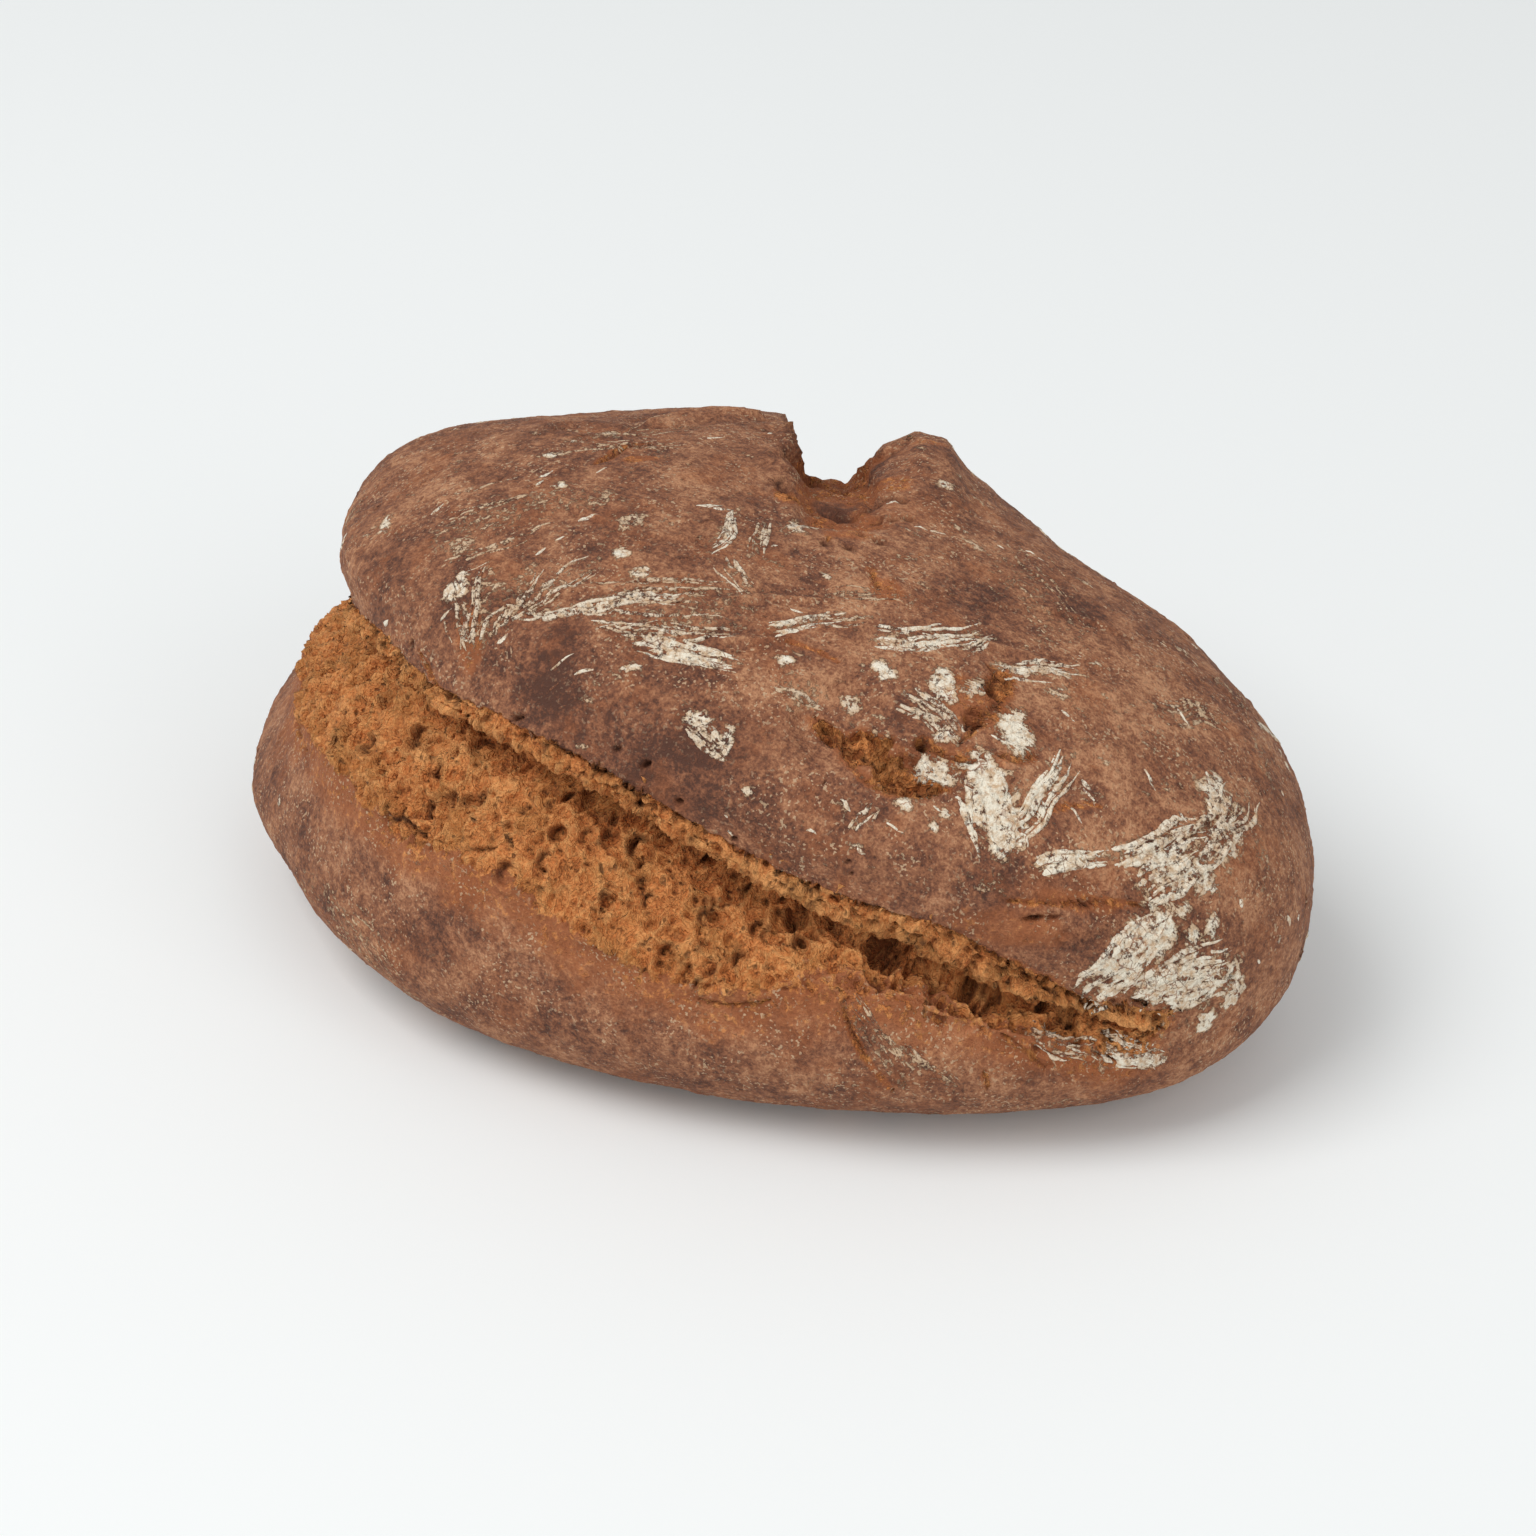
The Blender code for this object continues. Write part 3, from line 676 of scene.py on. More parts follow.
# Bundles of floured ridges: first and last pixel, spread in pixels, how many, half width, height, flour
BUNDLES = (
    (470, 655, 456, 572, 13, 4, 0.36, 0.7, 0.75), (474, 652, 490, 562, 14, 5, 0.38, 0.8, 0.8),
    (482, 645, 535, 560, 15, 6, 0.38, 0.8, 0.8), (495, 630, 600, 556, 14, 6, 0.38, 0.7, 0.8),
    (506, 618, 705, 594, 9, 7, 0.46, 0.9, 0.85), (590, 600, 770, 592, 13, 7, 0.32, 0.5, 0.7),
    (590, 622, 745, 628, 12, 9, 0.3, 0.4, 0.8), (632, 638, 740, 662, 15, 14, 0.45, 0.5, 1.0),
    (738, 508, 708, 552, 8, 6, 0.38, 0.6, 0.9), (768, 520, 748, 560, 8, 5, 0.36, 0.5, 0.8),
    (722, 560, 752, 592, 8, 6, 0.34, 0.5, 0.8), (768, 630, 850, 612, 9, 9, 0.42, 0.5, 0.9),
    (872, 640, 985, 632, 12, 13, 0.5, 0.6, 1.0), (960, 648, 1000, 636, 6, 6, 0.4, 0.4, 0.8),
    (1000, 668, 1088, 676, 8, 10, 0.45, 0.5, 0.9), (815, 596, 912, 594, 8, 8, 0.3, 0.3, 0.6),
    (820, 617, 872, 616, 6, 6, 0.32, 0.3, 0.7), (774, 680, 828, 700, 16, 9, 0.45, 0.4, 0.7),
    (1004, 850, 1075, 752, 14, 12, 0.42, 0.7, 0.95), (980, 770, 1000, 858, 26, 14, 0.55, 0.6, 1.0),
    (993, 858, 1013, 838, 6, 5, 0.36, 0.5, 0.9), (1030, 866, 1112, 855, 9, 13, 0.5, 0.5, 1.0),
    (1110, 858, 1208, 826, 14, 14, 0.5, 0.6, 0.95), (1140, 888, 1215, 842, 22, 14, 0.5, 0.5, 0.95),
    (1190, 862, 1245, 790, 24, 14, 0.5, 0.5, 0.85), (1150, 706, 1230, 726, 14, 10, 0.4, 0.3, 0.6),
    (1080, 1000, 1170, 920, 22, 16, 0.55, 0.5, 1.0), (1130, 1000, 1240, 962, 24, 18, 0.55, 0.5, 1.0),
    (1096, 1040, 1162, 1062, 16, 16, 0.5, 0.5, 1.0), (1026, 1030, 1112, 1068, 14, 10, 0.36, 0.4, 0.8),
    (836, 800, 845, 816, 4, 3, 0.4, 0.5, 0.9), (850, 832, 874, 802, 5, 4, 0.4, 0.5, 0.8),
    (430, 540, 560, 500, 40, 14, 0.3, 0.25, 0.6), (560, 440, 700, 424, 22, 12, 0.3, 0.25, 0.6),
    (905, 690, 962, 744, 14, 12, 0.45, 0.5, 0.8), (1000, 560, 1080, 640, 40, 12, 0.3, 0.25, 0.5),
    (845, 1000, 905, 1085, 12, 8, 0.3, 0.3, 0.6), (880, 1040, 960, 1090, 10, 7, 0.3, 0.3, 0.6),
    (300, 860, 420, 1010, 16, 14, 0.3, 0.2, 0.5), (690, 722, 730, 760, 10, 8, 0.45, 0.5, 0.85),
)
# Floured patches: place, half length and half width, turn, flour, and how cracked the flour is
PATCHES = (
    (385, 525, 1.8, 2.8, 0, 0.8, 0.4), (460, 545, 2.6, 3.2, 0, 0.55, 0.3), (455, 590, 2.6, 3.4, 0, 0.9, 0.6),
    (555, 455, 2.6, 1.2, 0, 0.9, 0.3), (560, 485, 2.2, 1.6, 0, 0.9, 0.3), (622, 553, 2.0, 1.9, 0, 0.9, 0.4),
    (600, 500, 3.6, 3.4, 0, 0.5, 0.3), (630, 520, 3.4, 3.0, 30, 0.6, 0.3), (612, 435, 3.4, 1.1, 0, 0.7, 0.3),
    (640, 573, 2.6, 1.8, 0, 0.8, 0.4), (655, 642, 3.2, 1.6, 0, 0.95, 0.5), (632, 667, 2.2, 1.0, 0, 0.9, 0.4),
    (783, 659, 1.9, 1.4, 0, 1.0, 0.3), (884, 670, 3.0, 2.2, 0, 0.95, 0.5), (850, 706, 2.4, 2.0, -40, 0.7, 0.6),
    (940, 684, 2.6, 4.0, 8, 0.95, 0.7), (942, 735, 3.0, 1.5, 10, 0.9, 0.6), (974, 690, 2.2, 2.8, -40, 0.85, 0.5),
    (697, 722, 3.0, 2.0, 0, 0.85, 0.8), (724, 742, 2.0, 3.0, 0, 0.8, 0.8), (1012, 730, 3.8, 4.6, 0, 0.95, 0.7),
    (1024, 742, 3.4, 2.0, 40, 0.9, 0.7), (938, 770, 4.8, 3.4, 10, 0.9, 0.7), (926, 788, 2.6, 2.2, 0, 0.8, 0.7),
    (990, 795, 4.6, 8.2, 8, 1.0, 0.7), (1003, 830, 3.8, 5.0, 20, 0.9, 0.7), (1012, 670, 3.4, 1.8, 0, 0.95, 0.5),
    (1056, 692, 2.4, 1.8, 0, 0.7, 0.6), (1216, 795, 3.8, 5.0, 0, 0.8, 0.6), (1228, 838, 3.6, 4.6, 0, 0.8, 0.7),
    (1178, 874, 6.0, 3.4, 20, 0.95, 0.8), (1204, 886, 3.0, 2.4, 0, 0.9, 0.6), (1155, 930, 5.4, 5.8, 20, 1.0, 0.6),
    (1120, 966, 6.2, 3.8, 44, 1.0, 0.5), (1196, 984, 9.6, 4.8, 0, 1.0, 0.9), (1160, 985, 7.0, 3.4, 0, 0.95, 0.8),
    (1205, 1020, 3.0, 2.0, 0, 0.95, 0.6), (1193, 932, 1.7, 2.4, 0, 0.9, 0.4), (1213, 926, 1.6, 2.6, 0, 0.9, 0.4),
    (1183, 905, 1.6, 1.6, 0, 0.9, 0.4), (1228, 1000, 3.4, 2.8, 0, 0.8, 0.6), (1128, 1046, 3.6, 2.0, 20, 0.95, 0.5),
    (1150, 1062, 3.6, 1.8, -20, 0.95, 0.6), (903, 806, 1.8, 1.6, 0, 0.85, 0.4), (947, 815, 1.1, 1.3, 0, 0.95, 0.2),
    (935, 827, 1.1, 1.4, 0, 0.85, 0.2), (745, 790, 2.0, 1.2, 0, 0.7, 0.4), (278, 800, 0.9, 1.8, 0, 0.8, 0.2),
    (826, 576, 1.5, 0.9, -20, 0.8, 0.2), (942, 484, 1.6, 1.5, 0, 0.9, 0.3), (917, 530, 1.2, 0.7, 0, 0.8, 0.3),
    (908, 558, 2.6, 1.0, 0, 0.5, 0.3), (1096, 662, 1.1, 0.9, 0, 0.8, 0.2), (1163, 670, 1.0, 0.8, 0, 0.7, 0.2),
    (985, 880, 4.0, 2.4, 0, 0.35, 0.3), (400, 1000, 4.0, 2.6, 0, 0.3, 0.2), (330, 905, 3.0, 3.0, 0, 0.3, 0.2),
    (1260, 850, 2.0, 7.0, 0, 0.35, 0.4), (1262, 760, 3.0, 8.0, 20, 0.35, 0.4), (560, 500, 9.0, 5.0, 0, 0.3, 0.5),
    (1230, 690, 5.0, 3.0, -40, 0.4, 0.5), (700, 610, 12.0, 4.0, 0, 0.3, 0.6), (330, 500, 3.0, 5.0, 0, 0.4, 0.4),
)
# Darker and paler places: place, radius in millimetres, change of shade
TONES = (
    # The first four darken the crust along the brow over the burst: partly its own darker colour, partly painted shade
    # where the brow faces down
    (530, 685, 19, -0.2), (590, 715, 21, -0.22), (655, 765, 20, -0.24), (720, 815, 17, -0.22),
    (440, 620, 9, -0.2), (385, 560, 9, -0.22), (560, 665, 9, -0.12), (610, 520, 8, -0.12),
    (975, 600, 13, -0.26), (1075, 605, 12, -0.28), (765, 545, 10, -0.16), (500, 470, 14, -0.05),
    (800, 700, 20, 0.12), (880, 600, 16, 0.14), (1000, 700, 20, 0.12), (700, 470, 18, 0.04),
    (620, 590, 14, 0.08), (420, 500, 16, 0.08), (300, 780, 16, 0.1), (420, 930, 20, -0.06),
    (640, 1030, 26, -0.06), (1180, 700, 22, 0.14), (1120, 840, 14, 0.1), (860, 850, 14, -0.16),
    (1120, 740, 34, 0.1), (860, 560, 26, 0.1), (1230, 860, 22, 0.06), (420, 500, 26, 0.05),
    (470, 930, 12, -0.1), (560, 1010, 14, -0.08), (1050, 1060, 14, -0.1), (990, 880, 12, -0.14),
)
# Stains: place, half length and half width, turn, how much of the crumb shows, change of shade
STAINS = (
    (834, 507, 6.5, 6.5, 0, 0.08, -0.12), (888, 484, 5.0, 6.0, 40, 0.4, 0.0), (884, 456, 8.0, 2.0, 36, 0.02, -0.36),
    (930, 440, 4.6, 2.0, 0, 0.26, 0.1), (789, 494, 3.2, 3.6, 0, 1.0, -0.12), (850, 530, 6.0, 3.0, 0, 0.28, -0.05),
    (640, 458, 5.0, 2.0, 10, 0.35, -0.1), (885, 590, 4.0, 4.0, 0, 0.36, 0.0), (975, 700, 9.0, 7.0, -40, 0.24, -0.1),
    (950, 760, 12.0, 5.0, 0, 0.2, -0.1), (1010, 930, 16.0, 5.0, -5, 0.2, -0.1), (1080, 900, 10.0, 2.5, -8, 0.24, -0.08),
    (470, 640, 4.0, 9.0, 0, 0.24, 0.0), (880, 1000, 22.0, 5.0, -10, 0.4, -0.04),
    (1050, 1050, 16.0, 4.0, -20, 0.3, -0.08),
    # The last two darken the crumb just under the crust's lip on the right with painted shade
    (1005, 972, 15.0, 3.4, -24, 0.92, -0.26), (940, 945, 7.0, 2.6, -28, 0.95, -0.14),
)
# Rolled folds of crust: half width and height in millimetres, then the pixels that they pass through
ROLLS = (
    (1.8, 1.3, (856, 468), (882, 454), (904, 441), (910, 438)), (0.9, 0.9, (772, 478), (790, 472), (806, 475)),
    (3.6, -2.4, (804, 446), (808, 462), (812, 480)), (6.0, 1.7, (650, 414), (700, 412), (760, 414)),
    (6.0, -1.2, (560, 420), (595, 420), (630, 420)), (2.4, -1.6, (858, 476), (866, 490), (872, 505)),
    (2.4, 1.8, (788, 418), (796, 438), (802, 460)),
    (1.2, 0.6, (700, 606), (760, 596), (830, 600)), (1.4, 0.6, (600, 626), (690, 640), (790, 640)),
    (1.2, 0.6, (980, 604), (1060, 610), (1130, 640)), (1.3, 0.6, (900, 644), (980, 640), (1060, 664)),
    (1.3, 0.7, (1080, 862), (1150, 846), (1206, 820)), (1.4, 0.6, (1000, 896), (1070, 890), (1150, 900)),
    (1.6, 0.8, (960, 790), (985, 800), (1010, 780)), (1.2, 0.7, (1100, 1000), (1160, 960), (1180, 930)),
    (1.2, 0.5, (560, 500), (620, 530), (700, 540)), (1.4, 0.6, (500, 604), (590, 586), (690, 590)),
    (1.6, 0.6, (560, 820), (640, 868), (720, 900)), (1.2, 0.6, (840, 1000), (866, 1040), (902, 1086)),
    (1.2, 0.6, (1004, 1040), (1050, 1062), (1110, 1076)), (1.4, 0.7, (1060, 940), (1100, 930), (1150, 905)),
)
# The side of the picture, across and up, that the light comes from
LIGHT_SIDE = (-0.75, 0.66)


def net_frame(surface, number):
    """Directions across and up the photograph's view, lying in the surface at a corner."""
    normal = surface.normals[number]
    across = np.array([math.cos(math.radians(CAMERA_AZIMUTH)), math.sin(math.radians(CAMERA_AZIMUTH)), 0.0])
    across = across - normal * (across @ normal)
    across /= np.linalg.norm(across)
    return across, np.cross(normal, across)


def near_points(surface, centre, reach):
    """Numbers of the corners within reach of a point, found by the box round it first."""
    return surface.within(centre - reach, centre + reach)


def oval_share(surface, centre, number, half_across, half_up, turn, reach=1.0):
    """Corners near an oval mark, their distance from its middle in shares of its size, and their direction."""
    across, up = net_frame(surface, number)
    near = near_points(surface, centre, reach * max(half_across, half_up) + 0.5 * MM)
    away = surface.points[near] - centre
    along, over = away @ across, away @ up
    cosine, sine = math.cos(math.radians(turn)), math.sin(math.radians(turn))
    turned = np.stack([(along * cosine + over * sine) / half_across, (over * cosine - along * sine) / half_up], 1)
    out = np.hypot(*turned.T)
    depth = np.abs(away @ surface.normals[number]) / max(half_across, half_up, 3.0 * MM)
    toward = (along * LIGHT_SIDE[0] + over * LIGHT_SIDE[1]) / np.maximum(np.hypot(along, over), 1e-9)
    return near, np.hypot(out, 0.6 * depth), toward


def press(surface, near, share, toward, depth, lean, darkness):
    """A bowl, deeper and steeper on the side that the light comes from, and darkened by its depth with painted shade.
    """
    bowl = (1.0 - ramp(0.35, 1.0, share)) * (1.0 - lean + lean * (0.5 + 0.5 * toward * np.minimum(share * 1.6, 1.0)))
    surface.relief[near] -= depth * bowl
    surface.pit_shade[near] = np.maximum(surface.pit_shade[near], darkness * bowl ** 1.5)


def crescent(surface, near, share, toward, depth, darkness):
    """A bubble's smooth floor and raised rim, with an undercut wall on the side that the light comes from. Painted
    shadow darkens that wall, and painted light makes the rim and the far side of the floor paler.
    """
    floor = 1.0 - ramp(0.62, 1.0, share)
    lit = 0.5 + 0.5 * toward
    rim = np.exp(-((share - 1.08) / 0.16) ** 2)
    shadowed_wall = np.exp(-((share - 0.78) / 0.2) ** 2) * ramp(0.35, 0.9, lit)
    surface.relief[near] += depth * (0.45 * rim - floor * (0.45 + 0.55 * lit) - 0.5 * shadowed_wall)
    surface.pit_shade[near] = np.maximum(surface.pit_shade[near], darkness * shadowed_wall)
    surface.shade[near] += 0.1 * floor * (1.0 - lit) + 0.2 * rim


def line_distance(points, corners):
    """Distance of points from a line through corners, and how far along it the nearest place is."""
    best = np.full(len(points), np.inf)
    along = np.zeros(len(points))
    lengths = np.linalg.norm(np.diff(corners, axis=0), axis=1)
    total = max(lengths.sum(), 1e-9)
    done = 0.0
    for start, end, length in zip(corners[:-1], corners[1:], lengths):
        way = (end - start) / max(length, 1e-9)
        place = np.clip((points - start) @ way, 0.0, length)
        away = np.linalg.norm(points - start - place[:, None] * way, axis=1)
        closer = away < best
        best = np.where(closer, away, best)
        along = np.where(closer, (done + place) / total, along)
        done += length
    return best, along


def smoothed(corners):
    """A line with its corners rounded."""
    for _ in range(2):
        first = 0.75 * corners[:-1] + 0.25 * corners[1:]
        second = 0.25 * corners[:-1] + 0.75 * corners[1:]
        middle = np.stack([first, second], axis=1).reshape(-1, 3)
        corners = np.concatenate([corners[:1], middle, corners[-1:]])
    return corners


def stroke(surface, corners, half_width):
    """Corners of the net near a line, and their distance from it in shares of its width, which wanders."""
    corners = smoothed(np.array(corners))
    low, high = corners.min(axis=0) - 3.0 * half_width, corners.max(axis=0) + 3.0 * half_width
    near = surface.within(low, high)
    away, along = line_distance(surface.points[near], corners)
    close = away < 3.0 * half_width
    near, away, along = near[close], away[close], along[close]
    wander = 1.0 + 0.5 * mist(surface.points[near], 2.2 * MM, 9)
    taper = np.sqrt(np.clip(ramp(-0.02, 0.15, along) * (1.0 - ramp(0.8, 1.02, along)), 0.0, 1.0)) * 0.8 + 0.2
    return near, away / (half_width * wander * taper + 1e-9)


def mark_cracks(surface):
    for half_width, depth, *pixels in CRACKS:
        corners = [surface.place(*pixel)[0] for pixel in pixels]
        near, share = stroke(surface, corners, half_width * MM)
        cut = 1.0 - ramp(0.2, 1.0, share)
        surface.relief[near] -= depth * MM * cut
        # Painted shade darkens the wider cracks
        surface.pit_shade[near] = np.maximum(surface.pit_shade[near], 0.9 * cut * ramp(0.4, 0.8, half_width))
        surface.crumb[near] = np.maximum(surface.crumb[near], 0.5 * (1.0 - ramp(0.8, 2.2, share)))


def flour_patch(surface, centre, number, size, turn, amount, cracked):
    """A patch of flour that fades at its edge, where the material breaks it up."""
    near, share, _ = oval_share(surface, centre, number, *size, turn, 1.8)
    points = surface.points[near]
    uneven = 0.75 * layered(points, 4.5 * MM, 14) + 0.45 * layered(points * (0.6, 1.0, 1.0), 1.7 * MM, 15, 2)
    cover = 1.0 - ramp(0.55, 1.45, share + uneven)
    surface.flour[near] = np.maximum(surface.flour[near], amount * cover)
    lumps = 0.6 + 0.6 * layered(points, 2.2 * MM, 16)
    surface.relief[near] += 0.5 * MM * ramp(0.3, 0.7, cover) * (0.3 + 0.7 * cracked) * lumps


def mark_flour(surface):
    """The floured ground of the bundles and the floured patches of the side that shows."""
    for x0, y0, x1, y1, spread, _, _, _, amount in BUNDLES:
        corners = [surface.place(*pixel)[0] for pixel in ((x0, y0), (0.5 * (x0 + x1), 0.5 * (y0 + y1)), (x1, y1))]
        near, share = stroke(surface, corners, 0.2 * spread * MM)
        cover = 1.0 - ramp(0.2, 1.3, share)
        surface.flour[near] = np.maximum(surface.flour[near], 0.46 * amount * cover)
        surface.relief[near] += 0.15 * MM * cover * layered(surface.points[near], 2.0 * MM, 18)
    for x, y, half_across, half_up, turn, amount, cracked in PATCHES:
        centre, number = surface.place(x, y)
        flour_patch(surface, centre, number, (half_across * MM, half_up * MM), turn, amount, cracked)


def far_places(surface, chance, count):
    """Places on the crust that the photograph doesn't show."""
    shown = np.zeros(len(surface.points), bool)
    shown[surface.seen] = True
    outside = np.where(surface.on_lid, surface.ring < LID_RINGS, surface.row < surface.first_burst_row)
    high = surface.points[:, 2] > np.where(surface.on_lid, 30.0, 14.0) * MM
    free = np.flatnonzero(~shown & outside & high & (surface.crumb < 0.1))
    return chance.choice(free, count, replace=False).tolist()


def mark_far_side(surface):
    """Flour and holes of the same kinds on the sides that the photograph hides."""
    chance = np.random.default_rng(FAR_SEED)
    for number in far_places(surface, chance, FAR_PATCH_COUNT):
        size = (1.6 + 8.0 * chance.random() ** 2, 1.2 + 5.0 * chance.random() ** 2)
        flour_patch(surface, surface.points[number], number, (size[0] * MM, size[1] * MM),
                    180.0 * chance.random(), 0.5 + 0.5 * chance.random(), 0.7 * chance.random())
    for number in far_places(surface, chance, FAR_HOLE_COUNT):
        found = oval_share(surface, surface.points[number], number, 0.9 * MM, 0.6 * MM,
                           180.0 * chance.random(), 1.2)
        press(surface, *found, 1.2 * MM, 0.25, 0.9)


def ridge_line(tree, corners, half_width, height, seed):
    """One ridge as rings of corners across its path over the loaf, sunk in where it breaks off."""
    corners = smoothed(np.array(corners))
    steps = np.concatenate([[0.0], np.cumsum(np.linalg.norm(np.diff(corners, axis=0), axis=1))])
    count = max(int(steps[-1] / RIDGE_STEP), 4)
    wanted = np.linspace(0.0, steps[-1], count)
    path = np.stack([np.interp(wanted, steps, corners[:, axis]) for axis in range(3)], axis=1)
    way = np.gradient(path, axis=0)
    way /= np.maximum(np.linalg.norm(way, axis=1, keepdims=True), 1e-12)
    wobble = mist(path, 9.0 * MM, 71) * 2.0 * MM + mist(path, 2.6 * MM, seed + 1) * 0.3 * MM
    width = half_width * (1.0 + 0.7 * mist(path, 2.0 * MM, seed + 2))
    rise = height * (0.55 + 0.9 * mist(path, 4.0 * MM, seed + 3) + 0.5 * mist(path, 1.2 * MM, seed + 4))
    taper = np.sin(math.pi * np.linspace(0.03, 0.985, count) ** 0.7) ** 0.6
    rings = []
    for place, along, shift, half, top, thin in zip(path, way, wobble, width, rise, taper):
        found, normal, _, _ = tree.find_nearest(Vector(place))
        side = np.cross(np.array(normal), along)
        side /= max(np.linalg.norm(side), 1e-12)
        found, normal, _, _ = tree.find_nearest(Vector(np.array(found) + side * shift))
        centre, up = np.array(found), np.array(normal)
        for out, high in RIDGE_SECTION:
            lift = high * top * thin if high > 0.0 else -RIDGE_ROOT
            rings.append(centre + side * (out * half * thin) + up * (lift - RIDGE_SINK))
    return rings


def ridge_paths(surface):
    """Ends and middle of every ridge, with its size and flour: bundles that show, and others all over."""
    chance = np.random.default_rng(FLOUR_SEED)
    for x0, y0, x1, y1, spread, count, half_width, height, amount in BUNDLES:
        start, end = np.array([x0, y0], float), np.array([x1, y1], float)
        way = end - start
        side = np.array([-way[1], way[0]]) / np.linalg.norm(way)
        curve = 2.0 * chance.random() - 1.0
        for _ in range(count):
            length = 0.35 + 0.6 * chance.random()
            first = (1.0 - length) * chance.random()
            offset, bow, turn = 2.0 * chance.random(3) - 1.0
            bow = 0.6 * curve + 0.25 * bow
            corners = []
            for part in (first, first + 0.5 * length, first + length):
                over = spread * (offset + 0.22 * turn * (part - first - 0.5 * length) / length)
                over += 0.08 * np.linalg.norm(way) * bow * math.sin(math.pi * (part - first) / length)
                corners.append(surface.place(*(start + way * part + side * over))[0])
            scale = 0.6 + 0.8 * chance.random()
            yield (corners, RIDGE_WIDTH * half_width * scale * MM, height * scale * MM,
                   amount * (0.8 + 0.2 * chance.random()))
    seen_crust = surface.seen[(surface.crumb[surface.seen] < 0.1) & surface.on_lid[surface.seen]]
    scattered = chance.choice(seen_crust, SCATTERED_RIDGES, replace=False).tolist()
    for number in scattered + far_places(surface, chance, SCATTERED_RIDGES):
        across, up = net_frame(surface, number)
        lean = 0.25 - 0.5 * chance.random() + 0.012 * (surface.points[number][0] / MM - 20.0)
        way = across * math.cos(lean) - up * math.sin(lean)
        half = 0.5 * (1.6 + 5.0 * chance.random() ** 2) * MM
        centre = surface.points[number]
        corners = [centre - way * half, centre + up * 0.6 * MM * (chance.random() - 0.5), centre + way * half]
        amount = 0.9 if chance.random() < 0.5 else 0.12
        yield corners, (0.3 + 0.45 * chance.random()) * MM, 0.4 * MM, amount


def mark_torn_patches(surface):
    """Crust that has come off the dome, down to the dark crumb."""
    for x, y, half_across, half_up, turn, depth in TORN_PATCHES:
        centre, number = surface.place(x, y)
        near, share, _ = oval_share(surface, centre, number, half_across * MM, half_up * MM, turn, 1.6)
        share = share + 0.35 * layered(surface.points[near], 3.6 * MM, 24)
        gone = 1.0 - ramp(0.9, 1.0, share)
        surface.crumb[near] = np.maximum(surface.crumb[near], 0.95 * gone)
        surface.crumb[near] = np.maximum(surface.crumb[near], 0.25 * (1.0 - ramp(1.0, 1.5, share)))
        rough = 1.0 + 0.7 * layered(surface.points[near], 2.4 * MM, 26)
        surface.relief[near] -= depth * MM * (1.0 - ramp(0.78, 1.0, share)) * rough
        surface.relief[near] += 0.4 * MM * np.exp(-((share - 1.1) / 0.12) ** 2)
        surface.shade[near] += 0.25 * gone * (rough - 1.0)
        surface.shade[near] -= 0.5 * gone


def mark_tones(surface):
    for x, y, radius, change in TONES:
        centre, _ = surface.place(x, y)
        near = near_points(surface, centre, radius * MM)
        share = np.linalg.norm(surface.points[near] - centre, axis=1) / (radius * MM)
        surface.shade[near] += change * (1.0 - ramp(0.1, 1.0, share))


def mark_stains(surface):
    """Places where more or less of the crumb shows through, with soft uneven edges."""
    for x, y, half_across, half_up, turn, crumb, change in STAINS:
        centre, number = surface.place(x, y)
        near, share, _ = oval_share(surface, centre, number, half_across * MM, half_up * MM, turn, 1.5)
        share = share + 0.3 * layered(surface.points[near], 4.0 * MM, 27)
        inside = 1.0 - ramp(0.55, 1.15, share)
        surface.crumb[near] += (crumb - surface.crumb[near]) * inside
        surface.shade[near] += change * inside


def mark_rolls(surface):
    for half_width, height, *pixels in ROLLS:
        corners = [surface.place(*pixel)[0] for pixel in pixels]
        near, share = stroke(surface, corners, half_width * MM)
        surface.relief[near] += height * MM * np.exp(-(share / 0.7) ** 2)
        surface.relief[near] -= 0.35 * height * MM * np.exp(-((share - 1.4) / 0.5) ** 2)
        surface.shade[near] += 0.08 * np.exp(-(share / 0.7) ** 2) - 0.1 * np.exp(-((share - 1.4) / 0.5) ** 2)


def mark_holes(surface):
    for x, y, half_across, half_up, turn, depth in HOLES:
        centre, number = surface.place(x, y)
        found = oval_share(surface, centre, number, half_across * MM, half_up * MM, turn, 1.2)
        # press darkens each hole with painted shade; crescent paints shadow and light into each bubble
        press(surface, *found, depth * MM, 0.25, 1.0)
    for x, y, half_across, half_up, turn, depth in BUBBLES:
        centre, number = surface.place(x, y)
        found = oval_share(surface, centre, number, half_across * MM, half_up * MM, turn, 1.4)
        crescent(surface, *found, depth * MM, 0.75)


def mark_caves(surface):
    for x, y, half_across, half_up, turn, depth in CAVES:
        centre, number = surface.place(x, y)
        near, share, _ = oval_share(surface, centre, number, half_across * MM, half_up * MM, turn, 1.5)
        points = surface.points[near]
        share = share + 0.16 * layered(points, 4.0 * MM, 21)
        hollow = 1.0 - ramp(0.55, 1.0, share)
        pushed = points + 1.6 * MM * np.stack([mist(points, 4.0 * MM, 92 + axis) for axis in range(3)], axis=1)
        webs = cell_walls(pushed, CAVE_WEB_SIZE, 22)
        hollow *= 1.0 - 0.75 * webs
        surface.relief[near] -= depth * MM * hollow
        # Painted shade darkens the hollows; the webs between them are paler
        surface.shade[near] += 0.3 * webs * (1.0 - ramp(0.8, 1.1, share)) - 0.22 * hollow
        surface.pit_shade[near] = np.maximum(surface.pit_shade[near], 0.25 * hollow * (1.0 - webs))


